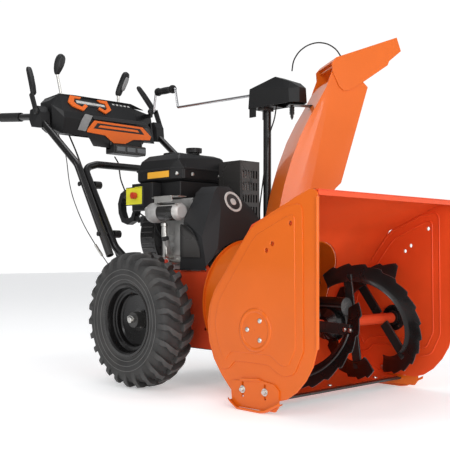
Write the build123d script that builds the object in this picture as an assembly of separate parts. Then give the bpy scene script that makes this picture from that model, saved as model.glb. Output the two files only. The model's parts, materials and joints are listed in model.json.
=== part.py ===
"""Walk-behind two-stage snow blower, modelled in millimetres.

+Z is up, the auger faces -Y, the operator stands at +Y and +X is the operator's left.
Lengths along Y are given from the auger axis and along X from the machine's centre
plane; save() moves everything so that the origin is the centre of the bounding box's
bottom, on the ground.
"""
import math
import os

from build123d import *

# ---- driving dimensions -------------------------------------------------------------
AUGER_TO_ORIGIN = -603.0      # the auger axis lies this far in front of the origin
CENTRE_PLANE = -33.0          # centre plane from the origin: the chute overhangs on the left
AUGER_Z = 212.0               # height of the auger shaft
AUGER_R = 172.0
HOUSING_HALF = 308.0          # inner face of each side plate
SHEET = 3.0                   # sheet steel of the housing and the frame
WRAP_R = 182.0                # outer radius of the round part of the housing wrap
IMPELLER_Z = 262.0            # height of the impeller shaft
IMPELLER_R = 172.0
DRUM_R = 184.5                # outer radius of the impeller drum
DRUM_BACK = 335.0             # where the drum's round wall ends
RUNNING = 0.05                # radial clearance of a shaft in its bearing
AXLE_Y = 529.0
TYRE_R = 208.0
TYRE_WIDTH = 124.0
TYRE_OUTER = 343.0            # outer face of each tyre from the centre plane
RIM_R = 108.0
AXLE_R = 9.5
FRAME_HALF = 150.0
FRAME_FRONT = 341.0
FRAME_BACK = 690.0
FRAME_BOTTOM = 120.0
FRAME_TOP = 357.0
CRANK_Z = 463.0               # height of the engine's crankshaft
CHUTE_X = 88.0                # chute's turning axis
CHUTE_Y = 230.0
CHUTE_REST_TURN = -32.0       # direction of discharge from +X, in degrees
CHUTE_HALF = 75.0
POST_X = 105.0
POST_Y = 352.0
TUBE_R = 12.7                 # handlebar tubing
TUBE_WALL = 2.0
HANDLE_X = 268.0              # upper handle tubes from the centre plane
LOWER_X = 236.0               # legs of the lower handlebar
CONSOLE_NEAR = -238.0
CONSOLE_FAR = 232.0


# ---- helpers ------------------------------------------------------------------------
def block(x0, x1, y0, y1, z0, z1):
    """Box between two corners."""
    centre = Pos((x0 + x1) / 2, (y0 + y1) / 2, (z0 + z1) / 2)
    return centre * Box(x1 - x0, y1 - y0, z1 - z0)


def rod(start, end, radius):
    """Round bar between two points."""
    a, b = Vector(*start), Vector(*end)
    return extrude(Plane(origin=a, z_dir=b - a) * Circle(radius), (b - a).length)


def ring(start, end, outer, inner):
    """Tube between two points."""
    a, b = Vector(*start), Vector(*end)
    reach = (b - a).normalized()
    return rod(a, b, outer) - rod(a - reach, b + reach, inner)


def panel_x(outline, x0, x1):
    """Outline in Y and Z, as thick as x0 to x1."""
    face = make_face(Polyline([(x0, y, z) for y, z in outline], close=True))
    return extrude(face, x1 - x0, dir=(1, 0, 0))


def panel_y(outline, y0, y1):
    """Outline in X and Z, as thick as y0 to y1."""
    face = make_face(Polyline([(x, y0, z) for x, z in outline], close=True))
    return extrude(face, y1 - y0, dir=(0, 1, 0))


def bent_tube(points, bend, radius, wall=0.0):
    """Round bar or tube through points, with an arc at each inner corner."""
    path = FilletPolyline(*points, radius=bend)
    start = Plane(origin=path @ 0, z_dir=path % 0)
    section = Circle(radius)
    if wall:
        section -= Circle(radius - wall)
    return sweep(start * section, path=path)


def cable(name, points, radius):
    """Cable whose arcs are as large as its straight runs allow. Prints its arcs and its volume."""
    bends = []
    for a, b, c in zip(points, points[1:], points[2:]):
        before, after = Vector(*b) - Vector(*a), Vector(*c) - Vector(*b)
        turn = math.radians(before.get_angle(after))
        bends.append(0.45 * min(before.length, after.length) / math.tan(turn / 2))
    body = bent_tube(points, bends, radius)
    length = FilletPolyline(*points, radius=bends).length
    share = body.volume / (math.pi * radius ** 2 * length)
    print(name, "length", round(length), "arc radii", [round(b, 1) for b in bends], "volume ratio", round(share, 3))
    return body


def turned_x(profile, y=0.0, z=0.0):
    """Profile of (x, radius) turned about a line along X."""
    face = make_face(Polyline([(x, r, 0) for x, r in profile], close=True))
    return Pos(0, y, z) * revolve(face, Axis.X)


def turned_y(profile, x=0.0, z=0.0):
    """Profile of (y, radius) turned about a line along Y."""
    face = make_face(Polyline([(r, y, 0) for y, r in profile], close=True))
    return Pos(x, 0, z) * revolve(face, Axis.Y)


def solid_hull(points):
    """Faceted solid round a list of corners."""
    return ConvexPolyhedron(points)


def both_sides(shape):
    """A piece and its mirror image on the other side."""
    return [shape, mirror(shape, about=Plane.YZ)]


def join(parts):
    """One solid from several that touch or overlap."""
    whole = parts[0]
    for extra in parts[1:]:
        whole = whole + extra
    return whole


def outermost(shape, side):
    """The solid furthest out on one side, of what a cut has left."""
    return max(shape.solids(), key=lambda solid: side * solid.center().X)


def group(parts):
    """Separate solids kept in one node."""
    solids = []
    for part in parts:
        solids.extend(part.solids())
    return Compound(children=solids)


def save(name, shape):
    """Write one node."""
    placed = Pos(CENTRE_PLANE, AUGER_TO_ORIGIN, 0) * shape
    export_step(placed, f"parts/{name}.step")


# ---- auger housing ------------------------------------------------------------------
ROOF_FRONT = (-203.0, 567.0)
ROOF_KNEE = (-178.0, 566.0)
ROOF_BACK = (20.0, 485.5)
BACK_KNEE = (141.2, 327.0)
FLOOR_FRONT = (-10.0, AUGER_Z - WRAP_R)
LIP_DROP = 15.0


def wrap_section(inset):
    """Closed section of the housing's inside space, drawn in by inset."""
    radius = WRAP_R - inset
    steps = 24
    start = math.atan2(BACK_KNEE[1] - AUGER_Z, BACK_KNEE[0])
    arc = []
    for i in range(steps + 1):
        angle = start + (-math.pi / 2 - start) * i / steps
        arc.append((radius * math.cos(angle), AUGER_Z + radius * math.sin(angle)))
    roof = [
        (ROOF_FRONT[0] + (0 if inset == 0 else -4), ROOF_FRONT[1] - inset),
        (ROOF_KNEE[0] - 0.2 * inset, ROOF_KNEE[1] - inset * 1.05),
        (ROOF_BACK[0] - 0.65 * inset, ROOF_BACK[1] - inset * 1.1),
    ]
    reach = FLOOR_FRONT[0] - (0 if inset == 0 else 4)
    return roof + arc + [(reach, AUGER_Z - radius)]


def housing_space(inset, half):
    """Solid filling of the housing, for cutting."""
    section = wrap_section(inset)
    front = [(section[0][0], section[-1][1])]
    return panel_x(section + front, -half, half)


def housing_wrap():
    outer = wrap_section(0)
    inner = wrap_section(SHEET)
    sheet = panel_x(outer + inner[::-1], -HOUSING_HALF, HOUSING_HALF)
    y, z = ROOF_FRONT
    lip = block(-HOUSING_HALF, HOUSING_HALF, y - SHEET, y, z - LIP_DROP, z)
    back_hole = rod((0, 40, IMPELLER_Z), (0, 200, IMPELLER_Z), DRUM_R)
    wrap = sheet + lip - back_hole
    for x in SCRAPER_BOLTS:
        wrap -= rod((x, SCRAPER_BOLT_Y, 20), (x, SCRAPER_BOLT_Y, 40), BOLT_R + RUNNING)
    return wrap


PLATE_EDGE = [
    (-205.0, 556.0), (-199.0, 564.0), (-190.0, 567.5), (-178.0, 567.5), (-132.0, 549.5), (-60.0, 518.0),
    (4.0, 489.0), (22.0, 476.0), (40.0, 457.0), (115.0, 364.0), (159.0, 311.0), (180.0, 266.0),
    (187.0, 222.0), (181.0, 172.0), (162.0, 124.0), (132.0, 84.0), (98.0, 50.0), (80.0, 38.0),
    (-74.0, 36.0), (-104.0, 44.0), (-138.0, 66.0), (-168.0, 98.0), (-190.0, 134.0), (-203.0, 176.0),
]
PLATE_HOLES = [(-120.5, 485.5), (-59.0, 435.0), (-39.0, 418.5)]
BEARING_BOLTS = [(-18.0, 237.0), (27.0, 212.0), (-18.0, 187.0)]
SKID_BOLTS = [(46.0, 54.0), (-34.0, 55.0)]
SCRAPER_BOLTS = (-220.0, 0.0, 220.0)      # positions along X
SCRAPER_BOLT_Y = 10.0
BOLT_R = 4.0                              # shank of every bolt in the housing


def side_plate():
    """Right side plate, with its rolled front flange and bearing dish."""
    outer = HOUSING_HALF + SHEET
    plate = panel_x(PLATE_EDGE, -outer, -HOUSING_HALF)
    flange = panel_x([(-205, 176), (-205, 556), (-166, 556), (-166, 150), (-195, 150)], -outer - 8, -outer)
    flange -= panel_x([(-202, 182), (-202, 553), (-163, 553), (-163, 154)], -outer - 5, -outer)
    dish = rod((-outer - 4, 0, AUGER_Z), (-outer, 0, AUGER_Z), 58)
    plate = plate + flange + dish
    for y, z in PLATE_HOLES:
        plate -= rod((-outer - 1, y, z), (-HOUSING_HALF + 1, y, z), 6)
    for y, z in SKID_BOLTS + BEARING_BOLTS:
        plate -= rod((-outer - 5, y, z), (-HOUSING_HALF + 1, y, z), BOLT_R + RUNNING)
    plate -= rod((-outer - 5, 0, AUGER_Z), (-HOUSING_HALF + 1, 0, AUGER_Z), 13.5)
    return plate


def scraper_bar():
    bar = block(-306, 306, -26, 44, 24, 30 - 0.2)
    return bar - join([rod((x, SCRAPER_BOLT_Y, 20), (x, SCRAPER_BOLT_Y, 40), BOLT_R + 0.2) for x in SCRAPER_BOLTS])


def skid_shoe():
    """Right skid shoe: a plate with an upswept foot."""
    outer = HOUSING_HALF + SHEET
    web = panel_x([(-84, 26), (-84, 62), (-70, 78), (62, 78), (88, 56), (92, 18), (80, 8), (-70, 8)],
                  -outer - 4.2, -outer - 0.2)
    foot = panel_x([(-92, 32), (-84, 34), (-30, 6), (58, 6), (84, 22), (90, 18), (62, 0), (-20, 0)],
                   -outer - 14.2, -outer - 0.2)
    shoe = web + foot
    for y, z in SKID_BOLTS:
        slot = block(-outer - 20, -outer + 2, y - 4.3, y + 4.3, z - 14, z + 14)
        shoe -= slot
    return shoe


def housing_fasteners():
    """Skid bolts, bearing bolts and scraper bolts, with their heads and nuts."""
    outer = HOUSING_HALF + SHEET
    pieces = []
    for y, z in SKID_BOLTS:
        shank = rod((-outer - 12, y, z), (-HOUSING_HALF + 3, y, z), BOLT_R)
        washer = rod((-outer - 7, y, z), (-outer - 4.4, y, z), 10)
        nut = Plane(origin=(-outer - 12, y, z), z_dir=(1, 0, 0)) * RegularPolygon(7, 6)
        head = rod((-HOUSING_HALF + 0.1, y, z), (-HOUSING_HALF + 3, y, z), 8)
        pieces += both_sides(shank + washer + extrude(nut, 5) + head)
    for y, z in BEARING_BOLTS:
        shank = rod((-outer - 8, y, z), (-HOUSING_HALF + 12, y, z), BOLT_R)
        head = rod((-outer - 8, y, z), (-outer - 4.1, y, z), 7)
        pieces += both_sides(shank + head)
    for x in SCRAPER_BOLTS:
        shank = rod((x, SCRAPER_BOLT_Y, 22.5), (x, SCRAPER_BOLT_Y, 37), BOLT_R)
        pieces.append(shank + rod((x, SCRAPER_BOLT_Y, 20.5), (x, SCRAPER_BOLT_Y, 23.9), 8))
    return group(pieces)


def auger_bearings():
    """Flange bearing of the auger shaft on the inside of each side plate."""
    flange = rod((-HOUSING_HALF + 0.1, 0, AUGER_Z), (-HOUSING_HALF + 6, 0, AUGER_Z), 40)
    barrel = rod((-HOUSING_HALF + 6, 0, AUGER_Z), (-HOUSING_HALF + 14, 0, AUGER_Z), 22)
    bearing = flange + barrel
    bearing -= rod((-HOUSING_HALF - 1, 0, AUGER_Z), (-HOUSING_HALF + 20, 0, AUGER_Z), 12.7 + RUNNING)
    for y, z in BEARING_BOLTS:
        bearing -= rod((-HOUSING_HALF - 1, y, z), (-HOUSING_HALF + 20, y, z), BOLT_R + RUNNING)
    return group(both_sides(bearing))


# ---- impeller drum and chute collar -------------------------------------------------
COLLAR_TOP = 468.0


def impeller_drum():
    """Round drum behind the housing, with a back plate and the chute's collar."""
    wall = rod((0, 20, IMPELLER_Z), (0, DRUM_BACK, IMPELLER_Z), DRUM_R - RUNNING)
    wall -= housing_space(0, 320)
    collar = rod((CHUTE_X, CHUTE_Y, IMPELLER_Z + 60), (CHUTE_X, CHUTE_Y, COLLAR_TOP), 76)
    back = rod((0, DRUM_BACK, IMPELLER_Z), (0, DRUM_BACK + SHEET, IMPELLER_Z), DRUM_R + 8)
    hollow = rod((0, 0, IMPELLER_Z), (0, DRUM_BACK, IMPELLER_Z), DRUM_R - 2.5)
    bore = rod((CHUTE_X, CHUTE_Y, IMPELLER_Z + 30), (CHUTE_X, CHUTE_Y, COLLAR_TOP + 1), 73.5)
    drum = wall + collar + back - hollow - bore
    boss = rod((0, DRUM_BACK - 12, IMPELLER_Z), (0, DRUM_BACK + SHEET, IMPELLER_Z), 24)
    shaft = rod((0, 200, IMPELLER_Z), (0, 400, IMPELLER_Z), 10 + RUNNING)
    return drum + boss - shaft


# ---- augers and impeller ------------------------------------------------------------
RAKE_INNER = 62.0
RAKE_OUTER = 294.0
RIBBON_TURN = 225.0
RIBBON_START = -35.0
RIGHT_RAKE_TURN = 100.0       # how far the right rake stands turned from the left one's mirror image
BAR_SHARES = (0.12, 0.79)     # where along a ribbon its two bars stand


def ribbon_point(along, angle, radius):
    """Point of a ribbon: along X, angle from +Z towards -Y."""
    a = math.radians(angle)
    return (along, -radius * math.sin(a), AUGER_Z + radius * math.cos(a))


def ribbon_segment(start, end, x0, x1):
    """Short flat stretch of a ribbon between two angles."""
    corners = []
    for angle, x in ((start, x0), (end, x1)):
        for radius in (118.0, AUGER_R):
            for side in (-3.0, 3.0):
                corners.append(ribbon_point(x + side, angle, radius))
    return solid_hull(corners)


def auger_rake():
    """Left rake: hub tube, two ribbon flights, their support bars and the shear bolt's head."""
    hub = ring((RAKE_INNER - 2, 0, AUGER_Z), (RAKE_OUTER - 4, 0, AUGER_Z), 20, 12.7 + RUNNING)
    pieces = [hub]
    steps = 10
    for flight in (0, 180):
        for i in range(steps):
            a0 = RIBBON_START + flight + RIBBON_TURN * (i - 0.04) / steps
            a1 = RIBBON_START + flight + RIBBON_TURN * (i + 1.04) / steps
            x0 = RAKE_INNER + 8 + (RAKE_OUTER - RAKE_INNER - 20) * i / steps
            x1 = RAKE_INNER + 8 + (RAKE_OUTER - RAKE_INNER - 20) * (i + 1) / steps
            pieces.append(ribbon_segment(a0, a1, x0, x1))
        for share in BAR_SHARES:
            angle = RIBBON_START + flight + RIBBON_TURN * share
            x = RAKE_INNER + 8 + (RAKE_OUTER - RAKE_INNER - 20) * share
            corners = []
            for radius in (14.0, 134.0):
                for turn in (-1, 1):
                    for side in (-4.0, 4.0):
                        swing = math.degrees(math.atan2(17.0 * turn, radius + 60))
                        corners.append(ribbon_point(x + side, angle + swing, radius))
            bar = solid_hull(corners)
            bore = rod((RAKE_INNER - 10, 0, AUGER_Z), (RAKE_OUTER, 0, AUGER_Z), 12.7 + RUNNING)
            pieces.append(bar - bore)
    x = RAKE_INNER + 2
    pieces.append(rod((x + 6, 0, AUGER_Z + 18), (x + 6, 0, AUGER_Z + 26), 6))
    return join(pieces)


def turned_rake(rake):
    """Rake turned about the auger's axis by its own setting."""
    return Pos(0, 0, AUGER_Z) * (Rot(RIGHT_RAKE_TURN, 0, 0) * (Pos(0, 0, -AUGER_Z) * rake))


def auger_shaft():
    """Cross shaft with the worm wheel in the gearcase."""
    shaft = rod((-HOUSING_HALF - 3, 0, AUGER_Z), (HOUSING_HALF + 3, 0, AUGER_Z), 12.7)
    wheel = rod((-9, 0, AUGER_Z), (9, 0, AUGER_Z), 33)
    return shaft + wheel


def auger_gearcase():
    """Two-part cast case round the worm wheel, with its worm barrel behind."""
    belly = turned_x([(-46, 12.9), (-46, 24), (-30, 44), (30, 44), (46, 24), (46, 12.9)], 0, AUGER_Z)
    barrel = rod((0, -52, IMPELLER_Z), (0, 78, IMPELLER_Z), 25)
    flange = rod((-3, 0, AUGER_Z), (3, 0, AUGER_Z), 52)
    case = belly + barrel + flange
    case -= rod((-22, 0, AUGER_Z), (22, 0, AUGER_Z), 37)
    case -= rod((0, -44, IMPELLER_Z), (0, 44, IMPELLER_Z), 17)
    case -= rod((0, 0, IMPELLER_Z), (0, 90, IMPELLER_Z), 10 + RUNNING)
    case -= rod((-60, 0, AUGER_Z), (60, 0, AUGER_Z), 12.7 + RUNNING)
    bolts = []
    for angle in (30, 150, 198, 246, 294, 342):
        a = math.radians(angle)
        y, z = 47.5 * math.cos(a), AUGER_Z + 47.5 * math.sin(a)
        bolts.append(rod((-7, y, z), (7, y, z), 4.2))
    return join([case] + bolts)


def impeller():
    """Three flat blades on a hub."""
    front, back = 176.0, 318.0
    hub = rod((0, front, IMPELLER_Z), (0, back, IMPELLER_Z), 24)
    pieces = [hub]
    for i in range(3):
        angle = 20 + 120 * i
        blade = block(0, IMPELLER_R, front, back, -3, 3)
        tip = block(IMPELLER_R - 30, IMPELLER_R, front, back, 3, 3.5)
        tooth = panel_y([(60, -3), (IMPELLER_R - 4, -3), (IMPELLER_R - 4, 3), (60, 3)], front - 1, front)
        vane = join([blade, tip, tooth])
        pieces.append(Pos(0, 0, IMPELLER_Z) * (Rot(0, -angle, 0) * vane))
    wheel = join(pieces)
    return wheel - rod((0, 100, IMPELLER_Z), (0, 400, IMPELLER_Z), 10)


def pulley(radius, y, x, z, bore):
    """Grooved pulley 16 wide with its front face at y."""
    depth = 9.0
    profile = [(y, bore), (y, radius), (y + 2.5, radius), (y + 5.5, radius - depth),
               (y + 10.5, radius - depth), (y + 13.5, radius), (y + 16, radius), (y + 16, bore)]
    return turned_y(profile, x, z)


PULLEY_Y = 384.0
BIG_PULLEY_R = 104.0
SMALL_PULLEY_R = 34.0


def impeller_shaft():
    """Impeller shaft with its worm in front and its pulley behind."""
    shaft = rod((0, -43.5, IMPELLER_Z), (0, 402, IMPELLER_Z), 10)
    worm = rod((0, -30, IMPELLER_Z), (0, 30, IMPELLER_Z), 12)
    return join([shaft, worm, pulley(BIG_PULLEY_R, PULLEY_Y, 0, IMPELLER_Z, 10)])


def engine_pulley():
    """Double crankshaft pulley with the crankshaft's end."""
    auger_groove = pulley(SMALL_PULLEY_R, PULLEY_Y, 0, CRANK_Z, 12)
    drive_groove = pulley(SMALL_PULLEY_R, PULLEY_Y + 20, 0, CRANK_Z, 12)
    spacer = ring((0, PULLEY_Y + 14, CRANK_Z), (0, PULLEY_Y + 22, CRANK_Z), 20, 12)
    shaft = rod((0, PULLEY_Y, CRANK_Z), (0, 560, CRANK_Z), 12.5)
    return join([auger_groove, drive_groove, spacer, shaft])


def drive_belt():
    """V-belt round the two pulleys, slack, as it is while the levers are released."""
    gap = 1.2
    big, small = BIG_PULLEY_R - 7 + gap, SMALL_PULLEY_R - 7 + gap
    rise = CRANK_Z - IMPELLER_Z
    lean = math.asin((big - small) / rise)

    def loop(extra, y0, y1):
        wheel = rod((0, y0, IMPELLER_Z), (0, y1, IMPELLER_Z), big + extra)
        cap = rod((0, y0, CRANK_Z), (0, y1, CRANK_Z), small + extra)
        web = []
        for radius, z in ((big + extra, IMPELLER_Z), (small + extra, CRANK_Z)):
            web.append((radius * math.cos(lean), z + radius * math.sin(lean)))
        outline = [web[0], web[1], (-web[1][0], web[1][1]), (-web[0][0], web[0][1])]
        return wheel + cap + panel_y(outline, y0, y1)

    y = PULLEY_Y + 5.6
    return loop(6, y, y + 4.8) - loop(0, y - 1, y + 6)


# ---- frame, axle and wheels ---------------------------------------------------------
HEX_Y = 604.0
HEX_Z = 272.0


def frame_box():
    """Folded steel box that carries the engine, the axle and the handlebars."""
    y0, y1, z0, z1 = FRAME_FRONT, FRAME_BACK, FRAME_BOTTOM, FRAME_TOP
    h = FRAME_HALF
    walls = block(-h, h, y0, y1, z0, z1) - block(-h + SHEET, h - SHEET, y0 + SHEET, y1 - SHEET, z0 - 1, z1 + 1)
    top = block(-h, h, 436, y1, z1 - SHEET, z1)
    tabs = join([panel_x([(352, z1 - 20), (352, z1 + 8), (364, z1 + 20), (380, z1 + 20), (392, z1 + 8),
                          (392, z1 - 20)], x, x + SHEET) for x in (-h, h - SHEET)])
    bosses = join([rod((s * h, AXLE_Y, 208), (s * (h - 24), AXLE_Y, 208), 22) for s in (-1, 1)])
    bearings = join([rod((s * (h - 0), HEX_Y, HEX_Z), (s * (h - 14), HEX_Y, HEX_Z), 18) for s in (-1, 1)])
    box = join([walls, top, tabs, bosses, bearings])
    box -= rod((0, y0 - 1, IMPELLER_Z), (0, y0 + 5, IMPELLER_Z), 26)
    box -= rod((-200, AXLE_Y, 208), (200, AXLE_Y, 208), AXLE_R + RUNNING)
    box -= rod((-h + 4, HEX_Y, HEX_Z), (h - 4, HEX_Y, HEX_Z), 8 + RUNNING)
    for y, z in ((372, z1 + 4), (372, 250), (372, 180)):
        box -= rod((-h - 1, y, z), (-h + 4, y, z), 5)
    return box


def frame_cover():
    """Bottom cover of the frame."""
    return block(-FRAME_HALF, FRAME_HALF, FRAME_FRONT, FRAME_BACK, FRAME_BOTTOM - 2.2, FRAME_BOTTOM - 0.2)


def friction_drive():
    """Hexagonal shaft with the rubber-rimmed friction wheel and its pinion."""
    half = FRAME_HALF - 4.5
    shaft = rod((-half, HEX_Y, HEX_Z), (half, HEX_Y, HEX_Z), 8)
    wheel = turned_x([(22, 8), (22, 24), (28, 24), (28, 62), (40, 62), (40, 24), (48, 24), (48, 8)], HEX_Y, HEX_Z)
    pinion = rod((-70, HEX_Y, HEX_Z), (-50, HEX_Y, HEX_Z), 22)
    return shaft + wheel + pinion


def tyre():
    """Right tyre: carcass with a band of lugs."""
    outer, inner = -TYRE_OUTER, -TYRE_OUTER + TYRE_WIDTH
    mid = (outer + inner) / 2
    bead = RIM_R + 0.3
    carcass = turned_x([
        (outer + 12, bead), (outer + 4, 126), (outer, 152), (outer + 6, 180), (outer + 18, 192), (mid, 196),
        (inner - 18, 192), (inner - 6, 180), (inner, 152), (inner - 4, 126), (inner - 12, bead),
        (inner - 22, bead), (inner - 16, 134), (inner - 12, 154), (inner - 18, 176), (mid, 184),
        (outer + 18, 176), (outer + 12, 154), (outer + 16, 134), (outer + 22, bead)], AXLE_Y, TYRE_R)
    tread = []
    lugs = 22
    for i in range(lugs):
        for side in (-1, 1):
            angle = 360 / lugs * (i + 0.25 * side) + (3 if i % 2 else 0)
            lug = Pos(mid + side * 34, 0, 198.5) * (Rot(0, 0, side * 28) * Box(48, 15, 17))
            tread.append(Pos(0, AXLE_Y, TYRE_R) * (Rot(angle, 0, 0) * lug))
    whole = join([carcass] + tread)
    limit = rod((outer - 2, AXLE_Y, TYRE_R), (inner + 2, AXLE_Y, TYRE_R), TYRE_R)
    return whole & limit


def rim():
    """Right rim with its deep dish, hub tube, half axle and pin."""
    outer, inner = -TYRE_OUTER, -TYRE_OUTER + TYRE_WIDTH
    dish = turned_x([
        (outer + 7, 112), (outer + 7, 102), (outer + 14, 97), (outer + 30, 95), (outer + 32, 82), (outer + 52, 79),
        (outer + 56, 62), (outer + 62, 24), (outer + 66, 24), (outer + 60, 64), (outer + 56, 83),
        (outer + 36, 86), (outer + 34, 98), (inner - 10, 98), (inner - 7, 102), (inner - 7, 112),
        (inner - 9.5, 112), (inner - 11.5, RIM_R), (inner - 22, RIM_R - 3), (outer + 22, RIM_R - 3),
        (outer + 11.5, RIM_R), (outer + 9.5, 112)], AXLE_Y, TYRE_R)
    hub = ring((outer + 36, AXLE_Y, TYRE_R), (inner - 4, AXLE_Y, TYRE_R), 24.5, AXLE_R)
    axle = rod((outer + 22, AXLE_Y, TYRE_R), (-6, AXLE_Y, TYRE_R), AXLE_R)
    pin = rod((outer + 29, AXLE_Y - 16, TYRE_R), (outer + 29, AXLE_Y + 16, TYRE_R), 2.6)
    gear = rod((-46, AXLE_Y, TYRE_R), (-30, AXLE_Y, TYRE_R), 34)
    return join([dish, hub, axle, pin, gear])


# ---- belt cover and engine ----------------------------------------------------------
COVER_BACK = 480.0


def belt_cover():
    """Faceted cover of the pulleys, open at the back and below."""
    def shell(inset):
        left, right = -160 + inset, 84 - inset
        top = 625 - inset
        front = FRAME_FRONT + 4 + inset
        low = FRAME_TOP + 3 if inset == 0 else FRAME_TOP
        back = COVER_BACK
        upper = [(left + 14, back, 520), (-92 + inset, back, 604 - inset), (-66, back, top), (24, back, top),
                 (right - 4, back, 560), (right, back, low), (left, back, low), (left, 376 + inset, 460),
                 (left + 2, 356 + inset, low), (-92 + inset, 396 + inset, 600 - inset),
                 (-68, 402 + inset, top - 2), (-14, 410 + inset, top), (52 - inset, 372 + inset, 556),
                 (right, front, 500), (right, front, low), (-112, front, low), (-122 + inset, front, 430),
                 (-84 + inset, 372 + inset, 552)]
        return solid_hull(upper)
    cover = shell(0) - Pos(0, 3, 0) * shell(3.5)
    cover -= block(-156.5, 80.5, COVER_BACK - 4, COVER_BACK + 20, 350, 600)
    clearance = rod((0, DRUM_BACK - 2, IMPELLER_Z), (0, DRUM_BACK + 30, IMPELLER_Z), DRUM_R + 8.5)
    post_room = rod((POST_X, POST_Y, 350), (POST_X, POST_Y, 640), 20)
    guard_room = block(GUARD_X[0] - 2, 200, GUARD_Y[0] - 2, 600, GUARD_Z[0] - 2, 700)
    return cover - clearance - post_room - guard_room


def engine_block():
    """Crankcase, inclined cylinder and head of the engine, on its mounting feet."""
    case = block(-96, 96, 492, 646, 372, 590)
    feet = block(-110, 110, 500, 640, 360.2, 372)
    fins = [block(96, 150, 520 + 16 * i, 528 + 16 * i, 440, 600) for i in range(7)]
    cylinder = block(96, 142, 512, 640, 450, 590)
    engine = join([case, feet, cylinder] + fins)
    boss = rod((0, 490, CRANK_Z), (0, 494, CRANK_Z), 40)
    bore = rod((0, 480, CRANK_Z), (0, 570, CRANK_Z), 12.5 + RUNNING)
    exhaust_room = block(GUARD_X[0] - 2, 200, 400, GUARD_Y[1] + 4, GUARD_Z[0] - 2, 720)
    return engine + boss - bore - exhaust_room


def blower_housing():
    """Round fan housing at the back of the engine."""
    drum = rod((0, 646.3, CRANK_Z + 6), (0, 722, CRANK_Z + 6), 128)
    drum -= rod((0, 640, CRANK_Z + 6), (0, 718, CRANK_Z + 6), 124.5)
    drum -= block(-140, 140, 640, 730, 300, FRAME_TOP + 4)
    drum -= rod((0, 700, CRANK_Z + 6), (0, 730, CRANK_Z + 6), 86)
    return drum - rod(ROPE_START, ROPE_EXIT, 4.2)


def recoil_cover():
    """Starter cover behind the fan housing, with the rope's eyelet."""
    cup = turned_y([(722.3, 98), (736, 96), (758, 74), (758, 0), (754, 0), (754, 72), (734, 92), (722.3, 94)],
                   0, CRANK_Z + 6)
    rim = ring((0, 722.3, CRANK_Z + 6), (0, 726, CRANK_Z + 6), 112, 93)
    eyelet = block(-104, -72, 726, 752, CRANK_Z + 42, CRANK_Z + 76)
    cover = cup + rim + eyelet
    return cover - rod(ROPE_START, ROPE_EXIT, 4.2)


ROPE_START = (-88.0, 700.0, CRANK_Z + 60)
ROPE_EXIT = (-88.0, 760.0, CRANK_Z + 60)
HANDLE_CENTRE = (-88.0, 838.0, 576.0)


def recoil_handle():
    """D-shaped pull with its rope."""
    x, y, z = HANDLE_CENTRE
    outer = [(y - 56, z - 14), (y - 40, z - 52), (y - 8, z - 64), (y + 26, z - 54), (y + 44, z - 22),
             (y + 48, z + 12), (y + 34, z + 46), (y + 6, z + 60), (y - 26, z + 52), (y - 48, z + 24)]
    inner = [(y - 40, z - 12), (y - 28, z - 36), (y - 6, z - 46), (y + 16, z - 38), (y + 27, z - 16),
             (y + 30, z + 8), (y + 20, z + 30), (y + 2, z + 42), (y - 18, z + 36), (y - 34, z + 14)]
    loop = panel_x(outer, x - 12, x + 12) - panel_x(inner, x - 20, x + 20)
    stem = rod((x, 775, ROPE_EXIT[2]), (x, y - 40, z - 30), 8)
    rope = rod((x, 656, ROPE_EXIT[2]), (x, 776, ROPE_EXIT[2]), 2.6)
    return join([loop, stem, rope])


TANK_TOP = 742.0


def fuel_tank():
    """Faceted tank on top of the engine."""
    low, seam = 648, 690
    y0, y1, x0, x1 = 535, 745, -122, 104
    upper = [(x0 + 14, y0 + 10, TANK_TOP - 22), (x0 + 34, y0 + 30, TANK_TOP), (x1 - 40, y0 + 30, TANK_TOP),
             (x1 - 12, y0 + 14, TANK_TOP - 8), (x1 - 12, y1 - 14, TANK_TOP - 8), (x1 - 40, y1 - 20, TANK_TOP),
             (x0 + 34, y1 - 20, TANK_TOP), (x0 + 6, y1 - 14, TANK_TOP - 20),
             (x0, y0 + 36, seam), (x0 + 26, y0, seam), (x1, y0, seam), (x1, y1, seam), (x0, y1, seam),
             (x0, y0 + 36, low + 8), (x0 + 26, y0, low + 8), (x1, y0, low + 8), (x1, y1, low + 8), (x0, y1, low + 8),
             (x0 + 12, y0 + 40, low), (x0 + 32, y0 + 10, low), (x1 - 8, y0 + 8, low), (x1 - 8, y1 - 8, low),
             (x0 + 8, y1 - 8, low)]
    tank = solid_hull(upper)
    neck = rod((CAP_X, CAP_Y, TANK_TOP - 20), (CAP_X, CAP_Y, TANK_TOP + 8), 19)
    return tank + neck


CAP_X = 0.0
CAP_Y = 592.0
INTAKE_CAP = (-8.0, 686.0)


def fuel_cap():
    """Ratchet cap on the tank's neck."""
    z = TANK_TOP + 8.3
    cap = rod((CAP_X, CAP_Y, z), (CAP_X, CAP_Y, z + 15), 27)
    for i in range(16):
        a = math.radians(360 / 16 * i)
        x, y = CAP_X + 28 * math.cos(a), CAP_Y + 28 * math.sin(a)
        cap -= rod((x, y, z - 1), (x, y, z + 11), 2.2)
    return cap


def air_intake_cap():
    """Flat round cap behind the fuel cap."""
    x, y = INTAKE_CAP
    base = rod((x, y, TANK_TOP + 0.2), (x, y, TANK_TOP + 8), 34)
    return base + rod((x, y, TANK_TOP + 8), (x, y, TANK_TOP + 14), 37)


def engine_shroud():
    """Shroud between the engine and the tank, with the heater box at its side."""
    body = block(-104, 92, 542, 716, 590.3, 647.7)
    return body - block(-110, 100, 645.8, 720, 580, 597.6)


GUARD_X = (58.0, 150.0)
GUARD_Y = (430.0, 532.0)
GUARD_Z = (520.0, 718.0)


def muffler():
    core = block(72, 136, 446, 526, 606, 700)
    pipe = bent_tube([(118, GUARD_Y[1] + 3.8, 560), (118, 496, 560), (118, 496, 610)], 22, 12)
    return core + pipe


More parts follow.
